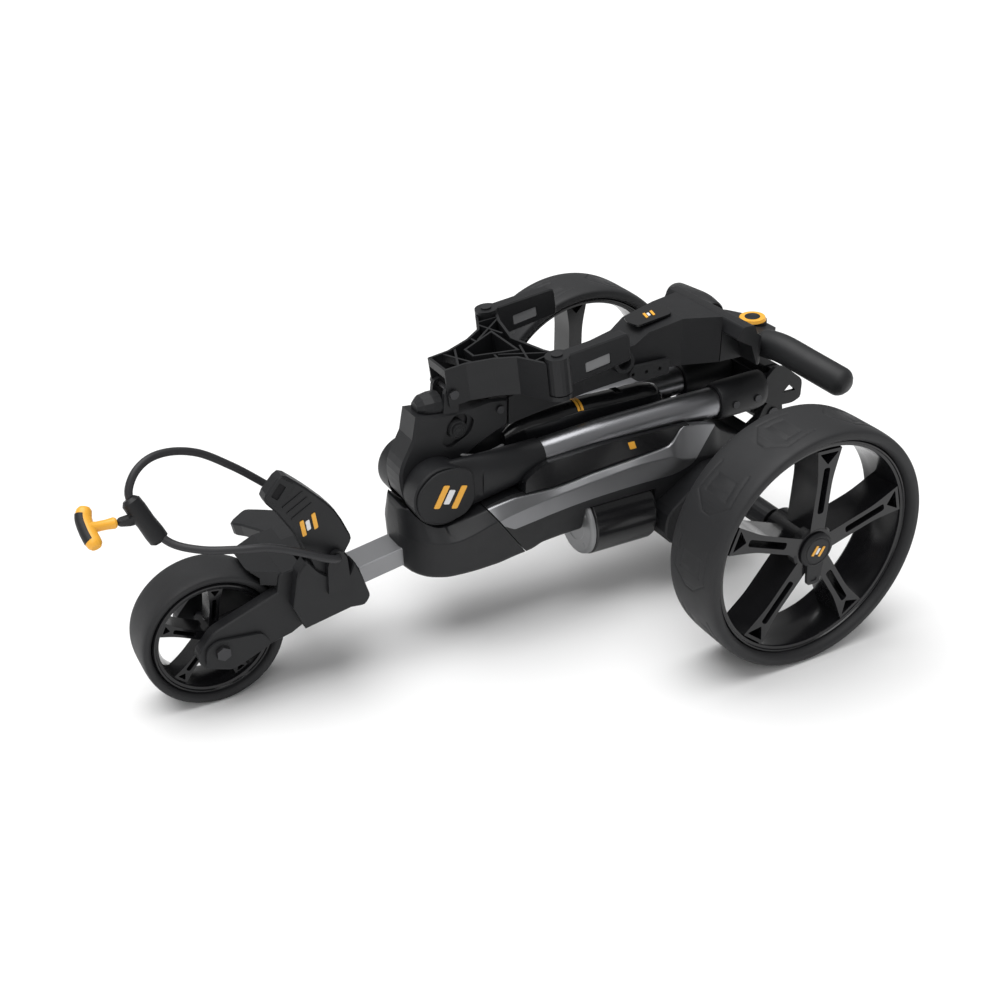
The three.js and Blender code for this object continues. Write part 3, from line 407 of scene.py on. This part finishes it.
def boolean(bm, tools, operation):
    """The shape after one Boolean with each tool; the tools are used up."""
    base = as_object(bm)
    for tool in tools:
        other = as_object(tool, "tool")
        modifier = base.modifiers.new("cut", "BOOLEAN")
        modifier.operation = operation
        modifier.solver = "EXACT"
        modifier.object = other
        settled(base)
        bpy.data.objects.remove(other)
    return from_object(base)


def cut(bm, *tools):
    return boolean(bm, tools, "DIFFERENCE")


def common(bm, *tools):
    return boolean(bm, tools, "INTERSECT")


def union(bm, *tools):
    return boolean(bm, tools, "UNION")


def finish_edges(obj, bevel, segments, angle):
    """Rounds the edges that turn by more than an angle."""
    edge = obj.modifiers.new("edge", "BEVEL")
    edge.width = bevel / MM_PER_M
    edge.segments = segments
    edge.limit_method = "ANGLE"
    edge.angle_limit = math.radians(angle)
    edge.use_clamp_overlap = True
    edge.miter_outer = "MITER_ARC"
    even = obj.modifiers.new("even", "WEIGHTED_NORMAL")
    even.keep_sharp = False


SAME_POINT = 0.001
FLAT_ANGLE = math.radians(0.5)
DRESS_FLAT_ANGLE = math.radians(1.0)
DRESS_EDGE_ANGLE = 28


def piece(name, bm, finish, body, replaces=(), bevel=0.0, segments=2, angle=32):
    """A finished piece in the row frame that rides on its body, with rounded or with sharp edges."""
    bmesh.ops.remove_doubles(bm, verts=bm.verts, dist=SAME_POINT)
    bmesh.ops.dissolve_limit(bm, angle_limit=FLAT_ANGLE, verts=bm.verts, edges=bm.edges)
    bm.transform(TO_ROW)
    obj = as_object(bm, name)
    obj.data.materials.append(finish)
    obj.data.shade_smooth()
    if bevel:
        finish_edges(obj, bevel, segments, angle)
    else:
        obj.data.set_sharp_from_angle(angle=math.radians(angle))
    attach(obj, body)
    if replaces:
        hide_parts(*replaces)
    return obj


def dress(node, finish, bevel, segments=2):
    """A CAD node with its edges eased and its own material."""
    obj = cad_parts[node]
    obj.data.materials.clear()
    obj.data.materials.append(finish)
    obj.data.shade_smooth()
    flat = obj.modifiers.new("flat", "DECIMATE")
    flat.decimate_type = "DISSOLVE"
    flat.angle_limit = DRESS_FLAT_ANGLE
    finish_edges(obj, bevel, segments, DRESS_EDGE_ANGLE)


def both_sides(make):
    """Runs make for the left side, then for the right with a function that mirrors the shape."""
    make("left", unchanged)
    make("right", mirrored)


# ---- the bag strap, an elastic cord with a slider and a pull on it
STRAP_RADIUS = 4.4
SLIDER_LOW, SLIDER_HIGH = Vector((-663, -16, 214)), Vector((-685, 6, 260))
STRAP = [(-487, -61, 169), (-490, -71, 171), (-503, -74, 177), (-525, -71, 188), (-560, -61, 200),
         (-592, -55, 204), (-630, -40, 207), (-656, -24, 215), (-671, -8, 233), (-679, 1, 248),
         (-684, 7, 264), (-675, 13, 282), (-657, 22, 291), (-632, 31, 290), (-600, 36, 279),
         (-566, 34, 256), (-540, 33, 234), (-492, 33, 188), (-472, 33, 167), (-465, 33, 154)]
strap_line = [row(*p) for p in spline(STRAP, 150)]
strap_curve = bpy.data.curves.new("bag_strap_cord", "CURVE")
strap_curve.dimensions = "3D"
strap_curve.bevel_depth = STRAP_RADIUS / MM_PER_M
strap_curve.bevel_resolution = 7
strap_curve.use_fill_caps = True
run = strap_curve.splines.new("POLY")
run.points.add(len(strap_line) - 1)
for spot, at in zip(run.points, strap_line):
    spot.co = (*at, 1)
strap_curve.materials.append(RUBBER)
strap = bpy.data.objects.new("bag_strap_cord", strap_curve)
SCENE.collection.objects.link(strap)
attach(strap, "chassis")
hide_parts("bag_strap")

slider_axis = SLIDER_HIGH - SLIDER_LOW
slider_sleeve = turned([(7, 0), (10.6, 3), (10.9, 12), (10.2, 26), (10.9, 42), (10.4, slider_axis.length - 4),
                        (7, slider_axis.length)], SLIDER_LOW, slider_axis, 48)
LUG_OUTLINE = [(0, -6.5), (12, -8.5), (25, -5.5), (29, 0), (25, 5.5), (12, 8.5), (0, 6.5)]
lug_place = (Matrix.Translation((-676, -4, 240)) @ Matrix.Rotation(math.radians(174), 4, "Z")
             @ Matrix.Rotation(math.radians(66), 4, "X"))
slider_lug = moved(smoothed(prism(LUG_OUTLINE, "z", -5.5, 5.5, 2), 1), lug_place)
slider = piece("strap_slider_moulding", union(slider_sleeve, slider_lug), BLACK, "chassis",
               ["strap_slider"], bevel=0.8)
neck = turned([(5.2, 0), (6.2, 2), (5.4, 10), (5.4, 20), (7, 27), (6, 31)], (-703.5, -6, 243),
              (-1, -0.07, 0.07), 40)
head_path = spline([(-729, 10.5, 259.5), (-733, 3, 252), (-733, -10, 242), (-730, -25.5, 231)], 18)
head = swept(head_path, [5.5, 7.6, 8.2, *[8.4] * 13, 8.2, 7.6, 5.5], 32)
pull = piece("strap_pull_handle", union(head, neck), AMBER, "chassis", ["strap_pull"], bevel=0.5)
grip_face = swept([p + Vector((-1.6, -0.4, 0.6)) for p in head_path[2:-2]], [4, *[7.6] * 13, 4], 32)
pull_grip = piece("strap_pull_grip", grip_face, GRIP_RUBBER, "chassis")


# ---- wheels
TREAD_PITCH, TREAD_DEPTH, TREAD_LINE_HALF = 94.25, 0.9, 1.3
TREAD_BAND = 3.2
TYRE_SQUARENESS = 4.6
TREAD_ROWS, PLAIN_ROWS = 84, 44


def tread_cut(around, across, half):
    """How deep the tread is cut at a point: thin open arrows round the tyre."""
    s = (around + TREAD_PITCH / 2) % TREAD_PITCH - TREAD_PITCH / 2
    lines = [((-34, half - 18), (6, half - 14)), ((6, half - 14), (24, 6)), ((24, 6), (24, -6)),
             ((24, -6), (6, 14 - half)), ((6, 14 - half), (-34, 18 - half)),
             ((-20, half - 26), (2, half - 24)), ((-20, 26 - half), (2, 24 - half))]
    near = math.inf
    for (ax, ay), (bx, by) in lines:
        dx, dy = bx - ax, by - ay
        t = max(0, min(1, ((s - ax) * dx + (across - ay) * dy) / (dx * dx + dy * dy)))
        near = min(near, math.hypot(s - ax - t * dx, across - ay - t * dy))
    return TREAD_DEPTH * max(0, 1 - (near / TREAD_LINE_HALF) ** 2)


def tyre(name, centre, radius, half, bead, node, body, steps, tread=True):
    """A squarish tyre round a line along y, half as wide to each side, with its bead's radius inside."""
    profile = []
    depth = radius - bead
    rows = TREAD_ROWS if tread else PLAIN_ROWS
    for k in range(rows + 1):
        t = math.pi * k / rows
        y = -half * math.cos(t)
        edge = abs(y) / half
        bulge = (1 - edge ** TYRE_SQUARENESS) ** (1 / TYRE_SQUARENESS) if edge < 1 else 0
        profile.append((bead + 6 + (depth - 6) * bulge, y))
    profile += [(bead + 4, half - 0.6), (bead + 1.6, half - 3.4), (bead, half - 8), (bead, 8 - half),
                (bead + 1.6, 3.4 - half), (bead + 4, 0.6 - half)]
    outlines = []
    for k in range(steps):
        a = 2 * math.pi * k / steps
        outline = []
        for r, y in profile:
            if tread and r > radius - TREAD_BAND:
                r -= tread_cut(a * radius, y, half)
            outline.append((centre[0] + r * math.cos(a), centre[1] + y, centre[2] + r * math.sin(a)))
        outlines.append(outline)
    piece(name, around_y(outlines), TYRE, body, [node], angle=50)


def rim_arm(hub, reach, outer, inner, width, foot, channel):
    """A deep arm along x from hub to rim, with a channel in its outer face and a triangular hole in its foot.

    channel is (start, end, width).
    """
    half, foot_half = width / 2, foot / 2
    start = reach - foot_half * 1.2
    start_channel, end_channel, channel_width = channel
    bar = prism([(hub, -half), (start - foot_half, -half, 12), (reach, -foot_half), (reach, foot_half),
                 (start - foot_half, half, 12), (hub, half)], "z", inner, outer)
    groove = prism([(start_channel, -channel_width / 2), (end_channel, -channel_width / 2),
                    (end_channel, channel_width / 2), (start_channel, channel_width / 2)],
                   "z", outer - 14, outer + 2, channel_width * 0.4)
    hole = prism([(end_channel + 4, 0), (reach - 4, 4 - foot_half), (reach - 4, foot_half - 4)],
                 "z", inner - 2, outer + 2, 1.5)
    return cut(bar, groove, hole)


ARM_COUNT = 5


def rim(name, centre, side, bead, half, phase, hub, barrel_radius, arm_shape, body, node):
    """A lipped ring, its arms and its barrel. side is -1 where the outer face looks to the left."""
    lip = half + 1.5
    ring = ring_of([(bead, -lip + 2), (bead - 1.6, -lip), (bead - 3.4, -lip), (bead - 4.2, -lip + 1.6),
                    (bead - 7.2, -lip + 2.2), (bead - 8.2, -lip + 5), (bead - 10.6, -lip * 0.3),
                    (bead - 11.2, 0), (bead - 10.6, lip * 0.3), (bead - 8.2, lip - 5),
                    (bead - 7.2, lip - 2.2), (bead - 4.2, lip - 1.6), (bead - 3.4, lip), (bead - 1.6, lip),
                    (bead, lip - 2)], centre, 144)
    arm = rim_arm(hub=hub, **arm_shape)
    arms = []
    for k in range(ARM_COUNT):
        about_axle = Matrix.Rotation(-math.radians(phase + 360 / ARM_COUNT * k), 4, "Y")
        turn = about_axle @ Matrix.Rotation(math.radians(90), 4, "X")
        if side > 0:
            turn = Matrix.Scale(-1, 4, (0, 1, 0)) @ turn
        arms.append(moved(arm.copy(), Matrix.Translation(centre) @ turn))
    r, outer = barrel_radius, arm_shape["outer"]
    barrel = turned([(r - 3, -outer - 0.2), (r, -outer + 1.6), (r, -outer + 12), (r * 0.82, -outer + 14),
                     (r * 0.82, outer - 1), (r * 0.76, outer + 1)], centre, (0, -side, 0), 72)
    piece(name, joined(ring, *arms, barrel), RIM_BLACK, body, [node], bevel=0.8, angle=30)


STRIPES = 3


def badge(name, centre, normal, up, size, body):
    """A generic mark: slanted stripes, raised a little. Every second one is white and short."""
    n = Vector(normal).normalized()
    v = (Vector(up) - n * n.dot(Vector(up))).normalized()
    u = v.cross(n)
    onto_face = Matrix(((u.x, v.x, n.x, centre[0]), (u.y, v.y, n.y, centre[1]), (u.z, v.z, n.z, centre[2]),
                        (0, 0, 0, 1)))
    step = size / STRIPES
    for k in range(STRIPES):
        x0 = -size / 2 + k * step
        half = size * (0.42 if k % 2 == 0 else 0.26)
        bar = prism([(x0, -half), (x0 + step * 0.66, -half), (x0 + step * 0.66 + half * 0.5, half),
                     (x0 + half * 0.5, half)], "z", -0.25, 0.45, step * 0.16, 3)
        shade = AMBER if k % 2 == 0 else WHITE
        piece(f"{name}_stripe_{k}", moved(bar, onto_face), shade, body)


DRIVE_RADIUS = 150
DRIVE_Y = 246.5
CAP_FACE = 31.4
DRIVE_ARM = {"reach": 124, "outer": 31, "inner": -9, "width": 20.6, "foot": 34, "channel": (45, 102, 8.6)}


def drive_wheel(name, side, phase):
    """A drive wheel with its cap. phase is the angle of its first arm, in degrees."""
    centre = (0, side * DRIVE_Y, DRIVE_RADIUS)
    body = "wheel_" + name
    tyre("tyre_" + name + "_tread", centre, DRIVE_RADIUS, half=41, bead=134, node="tyre_" + name, body=body,
         steps=900)
    rim("rim_" + name + "_cast", centre, side, bead=133.6, half=31, phase=phase, hub=16, barrel_radius=28,
        arm_shape=DRIVE_ARM, body=body, node="rim_" + name)
    out = (0, side, 0)
    at = (0, centre[1] + side * CAP_FACE, DRIVE_RADIUS)
    cap = turned([(20.6, 0), (21.4, 0.8), (21.4, 2.6), (19.6, 4.4), (17.6, 5), (17, 4.2), (15.6, 4.2),
                  (15, 5), (0, 5.2)], at, out, 72)
    tab = prism([(-8.5, 106), (8.5, 106), (12, 136), (-12, 136)], "y", *sorted((at[1], at[1] + side * 4)), 4)
    slot_cut = prism([(-4.5, 110), (4.5, 110), (4.5, 115), (-4.5, 115)], "y", at[1] - 3, at[1] + side * 9, 2)
    piece("hub_cap_" + name + "_moulding", union(cap, cut(tab, slot_cut)), BLACK, body,
          ["hub_cap_" + name], bevel=0.5)
    badge("hub_badge_" + name, (0, centre[1] + side * (CAP_FACE + 5.3), DRIVE_RADIUS), out, (0.3, 0, 1), 15,
          body)


drive_wheel("left", -1, 88)
drive_wheel("right", 1, 90)
FRONT_RADIUS = 81.3
FRONT = (-621.5, 0, FRONT_RADIUS)
FRONT_ARM = {"reach": 62, "outer": 19, "inner": -6, "width": 11, "foot": 18, "channel": (21, 47, 5)}
tyre("tyre_front_tread", FRONT, FRONT_RADIUS, half=28.5, bead=69.5, node="tyre_front", body="wheel_front",
     steps=260, tread=False)
rim("rim_front_cast", FRONT, -1, bead=69.1, half=23, phase=10, hub=9, barrel_radius=15, arm_shape=FRONT_ARM,
    body="wheel_front", node="rim_front")

# ---- chassis: sections of its shell as x, then z and half width of the bottom, the crease and the top edge
SECTIONS = [
    (-392, 110, 8, 148, 16, 176, 10), (-388, 102, 24, 149, 32, 182, 22), (-379, 97, 38, 149, 48, 182, 34),
    (-366, 95, 50, 149, 61, 174, 42), (-346, 95, 59, 150, 70, 163, 50), (-318, 95, 61, 157, 73, 169, 56),
    (-288, 96, 61, 166, 73, 178, 62), (-262, 99, 60, 171, 73, 182, 64), (-240, 102, 60, 175, 73, 182, 65),
    (-222, 107, 59, 178, 73, 181.5, 65), (-157, 111, 59, 185, 73, 188, 65), (-98, 113, 59, 190, 73, 193, 65),
    (-54, 114, 59, 189, 73, 197, 64), (-33, 114, 58, 180, 71, 218, 63), (17, 116, 55, 170, 65, 209, 60),
    (28, 117, 54, 168, 62, 199, 56), (62, 122, 48, 160, 54, 180, 46), (78, 126, 44, 156, 50, 174, 42)]


def chassis_shell(grow):
    """The shell, grown at its sides and top. The crease along each side stays crisp."""
    rings = []
    for x, bz, by, cz, cy, tz, ty in filled_in(SECTIONS, 5):
        right = [(by + grow, bz, 9), (cy + grow, cz - 1, 1.5), (ty + grow, tz + grow, 2.5)]
        left = [(-y, z, radius) for y, z, radius in right[::-1]]
        rings.append([(x, *p) for p in corner_points([*right, *left], steps=4)])
    return loft(rings)


def box_of(x0, x1, y0, y1, z0, z1):
    return prism([(x0, y0), (x1, y0), (x1, y1), (x0, y1)], "z", z0, z1)


def nose_region(grow=0.0):
    """The space ahead of the slanted joint between the nose and the tray."""
    return prism([(-430, 70), (-224 + grow, 70), (-323 + grow, 205), (-430, 205)], "y", -110, 110)


drum_room = turned([(38.6, 0), (38.6, 112)], (-350, -56, 200.3), (0, 1, 0), 72)
member_room = prism([(-400, 270), (-394, 226), (-389, 183), (-352, 160.5), (-314, 182), (-302, 222),
                     (-302, 270)], "y", -24, 24)
ELLIPSE_STEPS = 40
# the middle line of the left frame tube, and rings of its front sleeve as x, y, z, half width, half height
TUBE_LINE = [(-217, -33, 213), (-135, -37, 222), (-60, -38, 225.5), (28, -38, 228)]
SLEEVE_KEYS = [(-352, -35.5, 200.5, 12, 36), (-318, -36, 203, 14, 32.8), (-280, -35, 206.5, 19, 28),
               (-250, -33.5, 209.5, 21, 24), (-226, -33, 212, 21, 21.4), (-218, -33, 212.9, 20.4, 20.6)]


def ellipse(x, y, z, half_y, half_z):
    """A ring square to x."""
    return [(x, y + half_y * math.cos(a), z + half_z * math.sin(a)) for a in
            (2 * math.pi * k / ELLIPSE_STEPS for k in range(ELLIPSE_STEPS))]


def frame_room(flip):
    """The room in the chassis that one frame tube and its sleeves lie in."""
    front = loft([ellipse(x, y, z, a + 1.2, b + 1.2) for x, y, z, a, b in SLEEVE_KEYS])
    front_end = turned([(22.2, 0), (22.2, 6)], (-220, -33, 212.8), (1, 0, 0.11), 48)
    middle = swept(spline(TUBE_LINE, 24), [20.3] * 25, 40)
    rear = turned([(25.8, 0), (25.8, 84)], (27, -38, 228), (1, 0, 0.03), 48)
    return [flip(bm) for bm in (front, front_end, middle, rear)]


FRAME_ROOMS = [*frame_room(unchanged), *frame_room(mirrored)]


def frame_rooms():
    """Copies of the rooms, because a cut uses its tools up."""
    return [bm.copy() for bm in FRAME_ROOMS]


def battery_room():
    return box_of(-252.4, -23.6, -51.4, 51.4, 157.6, 260)


MOTOR_Y, MOTOR_Z = -40, 110
nose = cut(common(chassis_shell(0), nose_region()), drum_room, member_room, *frame_rooms())
piece("chassis_nose_moulding", nose, BLACK, "chassis", ["chassis_nose"], bevel=1.2, segments=3,
      angle=40)
motor_room = turned([(42, 0), (42, 103)], (-171, MOTOR_Y, MOTOR_Z), (1, 0, 0), 72)
tray = cut(chassis_shell(0), nose_region(1.2), battery_room(), motor_room, *frame_rooms())
piece("chassis_tray_moulding", tray, BLACK, "chassis", ["chassis_tray"], bevel=1.2, segments=3,
      angle=40)
PANEL = [(-312, 210), (-312, 172, 3), (-270, 146, 3), (-181, 157, 30), (-106, 160, 30), (-45, 160, 12),
         (-22, 167, 6), (17, 210, 4), (17, 225)]
WALL = [(-252, 176), (-24, 176), (-24, 222, 3), (-53, 222), (-147, 223, 20), (-229, 216, 10), (-252, 202, 6)]
panel = cut(common(chassis_shell(2.2), prism(PANEL, "y", -110, 0)), chassis_shell(0.3), nose_region(1.6),
            box_of(-330, 60, -57, 60, 100, 260), prism(WALL, "y", -64.4, 0), *frame_rooms())


def side_panel(name, flip):
    piece("side_panel_" + name + "_skin", flip(panel.copy()), SILVER, "chassis",
          ["side_panel_" + name], bevel=0.5, angle=40)


both_sides(side_panel)

# ---- battery: the block in the tray and its crown between the tubes
block = prism([(-252, 158), (-24, 158), (-24, 202, 5), (-120, 198, 20), (-230, 182, 14), (-252, 178, 5)],
              "y", -51, 51, 0, 6)
shell_rim = cut(chassis_shell(0.4), battery_room())
walls = [cut(flip(prism(WALL, "y", -64, -45, 0, 6)), shell_rim.copy(), *frame_rooms())
         for flip in (unchanged, mirrored)]
piece("battery_case", joined(block, *walls), GLOSS, "chassis", ["battery_pack"], bevel=1.2,
      segments=3)
CROWN_ARCH = 12
crown_rings = []
for x, half, low, high in filled_in([(-247, 6, 172, 235), (-235, 9, 174, 243), (-213, 11, 176, 249),
                                     (-200, 12.6, 178, 250.5), (-170, 15, 182, 254), (-126, 16.3, 190, 256),
                                     (-60, 17.3, 194, 256), (-35, 15, 196, 252), (-26, 11, 196, 240)], 7):
    arc = [(x, half * math.cos(a), high - CROWN_ARCH + CROWN_ARCH * math.sin(a))
           for a in (math.pi * k / 12 for k in range(13))]
    crown_rings.append([(x, half, low + 8), *arc, (x, -half, low + 8)])
crown_slot = prism([(-95, -8), (-86, -8), (-86, 8), (-95, 8)], "z", 251, 262, 2)
piece("battery_crown_cover", cut(loft(crown_rings), crown_slot), GLOSS, "chassis",
      ["battery_crown"], bevel=0.6, angle=50)
MARK_Z = 244
mark_turns = [math.pi * (0.08 + 0.84 * n / 16) for n in range(17)]
mark_over = [(16.2 * math.cos(a), MARK_Z + 12.3 * math.sin(a)) for a in mark_turns]
mark_under = [(y * 0.94, MARK_Z + (z - MARK_Z) * 0.93) for y, z in mark_over[::-1]]
for k, x in enumerate((-153, -148.4)):
    stripe = loft([[(x + w, y, z) for y, z in (*mark_over, *mark_under)] for w in (0, 3.2)])
    piece(f"charge_mark_{k}", stripe, AMBER, "chassis")
side_mark = prism([(-113, 217), (-104, 217), (-100, 207), (-109, 207)], "y", -64.5, -63.4, 1)
piece("charge_level_mark", side_mark, AMBER, "chassis", bevel=0.2)

# ---- motor and gearbox
can = turned([(38, 0), (40.5, 2), (40.5, 84), (39, 88)], (-161.5, MOTOR_Y, MOTOR_Z), (1, 0, 0), 96)
piece("motor_can_body", can, GLOSS, "chassis", ["motor_can"], bevel=0.8)
END_X, SCREW_CIRCLE = -166.6, 29
end = turned([(20, -1.2), (21, -2), (34, -2), (36.5, -1.2), (38.5, 0.5), (39.5, 4.4)],
             (END_X, MOTOR_Y, MOTOR_Z), (1, 0, 0), 96)
screws = []
for k in range(4):
    a = math.pi / 4 + math.pi / 2 * k
    at = (END_X, MOTOR_Y + SCREW_CIRCLE * math.cos(a), MOTOR_Z + SCREW_CIRCLE * math.sin(a))
    screws.append(turned([(3.2, -2.6), (3.4, -1.8), (3.4, 2)], at, (1, 0, 0), 20))
piece("motor_end_cover", joined(end, *screws), CAP_GREY, "chassis", ["motor_end_cap"], bevel=0.5)
dress("gearbox", BLACK, 2.2, 3)
dress("drive_axle", BLACK, 0.8)
dress("frame_lug", BLACK, 1.2)
dress("frame_pivot_pin", BLACK_STEEL, 0.5)

# ---- front bar, fork and its hardware
dress("front_bar", BAR_METAL, 1.2, 3)
dress("fork_housing", BLACK, 2.6, 4)
dress("front_axle_bolt", BLACK_STEEL, 0.6)
dress("tracking_adjuster", SOFT_BLACK, 0.9)
for side in ("left", "right"):
    dress("lower_arm_pin_" + side, BLACK_STEEL, 0.3)
    dress("arm_pin_" + side, BLACK_STEEL, 0.5)
    dress("lower_arm_" + side, BLACK, 2.4, 4)
    dress("bag_arm_" + side, BLACK, 1.4, 3)
    dress("arm_pad_" + side, PAD, 0.8)
    dress("drum_cap_" + side, SOFT_BLACK, 1.2, 3)


# ---- middle frame
def frame_tube(name, flip):
    line = spline(TUBE_LINE, 60)
    bar = swept(line, [18.2, *[19] * 59, 18.2], 64)
    piece("frame_tube_" + name + "_bar", flip(bar), GUNMETAL, "mid_frame",
          ["frame_tube_" + name])


def sleeve(name, flip):
    rings = [ellipse(*key) for key in filled_in(SLEEVE_KEYS, 6)]
    drum = turned([(35.2, 0), (36.8, 1.6), (36.8, 28), (36.8, 29)], (-350, -50, 200.3), (0, 1, 0), 96)
    shape = cut(union(loft(rings), drum), box_of(-420, -296, -20.6, 20.6, 150, 260),
                box_of(-420, -300, -60, -50, 100, 300),
                turned([(19.4, -1), (19.4, 40)], (-219.5, -33, 213), (1, 0, 0.11), 64))
    piece("front_sleeve_" + name + "_cast", flip(shape), BLACK, "mid_frame",
          ["front_sleeve_" + name], bevel=1.0, angle=38)


def rear_sleeve(name, flip):
    shape = loft([ellipse(28.6, -38, 228, 20.4, 21.4), ellipse(30, -38, 228, 22, 23),
                  ellipse(40, -38, 228.5, 23, 24), ellipse(66, -37.6, 229.2, 22.8, 24.4),
                  ellipse(92, -37, 230, 22, 24.5), ellipse(101, -36.3, 230.4, 20, 24),
                  ellipse(103, -36, 230.5, 18, 22.5)])
    piece("rear_sleeve_" + name + "_cast", flip(shape), BLACK, "mid_frame",
          ["rear_sleeve_" + name], bevel=0.6, angle=50)
    for k, further in enumerate((0, 34)):
        at = (48 + further, -59.5 + 0.02 * further, 229 + 0.03 * further)
        head = turned([(2.2, -1.2), (2.2, 0.6), (4.6, 0.6), (4.9, -0.4), (4.9, -3)], at, (0, 1, 0), 28)
        piece(f"sleeve_screw_{name}_{k}", flip(head), BLACK_STEEL, "mid_frame", bevel=0.3)


both_sides(frame_tube)
both_sides(sleeve)
both_sides(rear_sleeve)
dress("fold_pivot_pin", BLACK_STEEL, 0.5)
dress("rear_yoke", BLACK, 1.0)
badge("drum_badge", (-345, -53.2, 200), (0, -1, 0), (0.25, 0, 1), 34, "mid_frame")

# ---- handle section
dress("joint_member", BLACK, 2.4, 4)
dress("latch_knob", SOFT_BLACK, 0.7)
dress("bracket_pin", BLACK_STEEL, 0.5)
dress("bag_bracket", BLACK, 0.7)
dress("stem", BLACK, 4.0, 4)
dress("accessory_plate", SOFT_BLACK, 0.8)
dress("badge_pad", GLOSS, 0.6)
dress("handle_console", BLACK, 3.0, 4)
dress("display_panel", SOFT_BLACK, 0.5)
dress("dial_base", DEEP, 0.5)
dress("dial_knob", AMBER, 0.8, 3)
DIAL_TILT = math.radians(4)
dial_axis = Vector((-math.sin(DIAL_TILT), 0, math.cos(DIAL_TILT)))
dial_centre = turned([(9.2, -0.6), (9.8, 0.1), (9.4, 0.7), (7.4, 0.8), (6.8, 0.3), (0, 0.3)],
                     (111.4, 0, 312), dial_axis, 48)
piece("dial_centre_pad", dial_centre, SOFT_BLACK, "dial", angle=60)
knob_rings = [turned([(r, 0), (r, 0.9), (r - 0.9, 0.9), (r - 0.9, 0)], (-317.6, y, 265), (0, -1, 0), 48)
              for r, y in ((10.4, -23.3), (6.9, -25.3), (4.2, -25.3))]
piece("latch_knob_rings", joined(*knob_rings), BLACK, "latch", bevel=0.2)
member_screw = turned([(2.2, -1.2), (2.2, 0.6), (4.4, 0.6), (4.7, -0.4), (4.7, -2.4)], (-262, -21, 277),
                      (0, 1, 0), 28)
piece("member_screw", member_screw, BLACK_STEEL, "handle", bevel=0.3)
sleeve_strip = swept(spline([(-314, -22.4, 232), (-300, -21.8, 227), (-284, -20.8, 225), (-268, -19.6, 226.5),
                             (-256, -18.8, 229.5)], 24), [0.8, *[2.0] * 23, 0.8], 16)
piece("sleeve_edge_strip", sleeve_strip, CAP_GREY, "mid_frame", angle=60)
badge("arm_badge", (-516, -58.4, 214), (0, -1, 0), (-0.4, 0, 1), 22, "lower_arm_left")

# the slotted tip of the left lower arm and three ribs below it, on the arm's outer face at y = -58
ARM_SLOT = [(-554, 259.5), (-543.5, 272.5), (-537, 266), (-547.5, 253)]
tip_frame = cut(prism([(-560, 257.5), (-542, 279), (-527, 266), (-546, 242)], "y", -59.8, -56, 3),
                prism(ARM_SLOT, "y", -62, -50, 1.2))
piece("arm_tip_frame", tip_frame, SOFT_BLACK, "lower_arm_left", bevel=0.6)
# a near-black sheet just inside the slot: painted shade for the slot's depth
piece("arm_tip_slot_painted_shade", prism(ARM_SLOT, "y", -58.5, -57, 1.2), DEEP, "lower_arm_left")
for k in range(3):
    x, z = -534 + 4.5 * k, 241 - 8 * k
    rib = prism([(x - 9, z + 0.4), (x - 8.4, z + 2.2), (x + 14.6, z + 15.2), (x + 15.4, z + 13.6)],
                "y", -59, -57, 0.6)
    piece(f"arm_tip_rib_{k}", rib, SOFT_BLACK, "lower_arm_left", bevel=0.25)
badge("stem_badge", (-48, 0, 344.6), (-0.14, 0, 1), (0, 1, 0), 15, "handle")


def grip(name, flip):
    line = spline([(89, -52.8, 300), (94, -80, 301.5), (103, -120, 295), (117, -167, 284.5),
                   (119.4, -175, 282.6)], 40)
    radii = [16.2, 17.5, *[17.6] * 35, 17.0, 15.4, 12.6, 7.5]
    piece("grip_" + name + "_rubber", flip(swept(line, radii, 48)), GRIP_RUBBER, "handle",
          ["grip_" + name], angle=60)


both_sides(grip)

# ---- floor and light
FLOOR_HALF = 40
AMBIENT = 0.35
floor_mesh = bpy.data.meshes.new("floor")
floor_mesh.from_pydata([(x * FLOOR_HALF, y * FLOOR_HALF, 0) for x, y in ((-1, -1), (1, -1), (1, 1), (-1, 1))],
                       [], [(0, 1, 2, 3)])
floor = bpy.data.objects.new("floor", floor_mesh)
SCENE.collection.objects.link(floor)
floor_mesh.materials.append(PAPER)
floor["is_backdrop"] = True


def sun(name, strength, angle, direction):
    """A far lamp that shines along a direction; a wide angle makes its shadows soft."""
    data = bpy.data.lights.new(name, "SUN")
    data.energy, data.angle = strength, math.radians(angle)
    light = bpy.data.objects.new(name, data)
    SCENE.collection.objects.link(light)
    light.rotation_mode = "QUATERNION"
    light.rotation_quaternion = Vector(direction).to_track_quat("-Z", "Y")


sun("sky_light", 3.0, 60, (0.15, -0.1, -1))
sun("side_light", 0.5, 30, (0.5, 0.8, -0.75))
world = bpy.data.worlds.new("studio")
SCENE.world = world
world.use_nodes = True
nodes, links = world.node_tree.nodes, world.node_tree.links
nodes["Background"].inputs["Color"].default_value = (1, 1, 1, 1)
nodes["Background"].inputs["Strength"].default_value = AMBIENT
# the backdrop is seen as full white, while the light that comes from it is dimmer
backdrop = nodes.new("ShaderNodeBackground")
chooser = nodes.new("ShaderNodeMixShader")
path = nodes.new("ShaderNodeLightPath")
backdrop.inputs["Color"].default_value = (1, 1, 1, 1)
links.new(path.outputs["Is Camera Ray"], chooser.inputs[0])
links.new(nodes["Background"].outputs[0], chooser.inputs[1])
links.new(backdrop.outputs[0], chooser.inputs[2])
links.new(chooser.outputs[0], nodes["World Output"].inputs["Surface"])
SCENE.view_settings.view_transform = "Standard"

low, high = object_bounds()
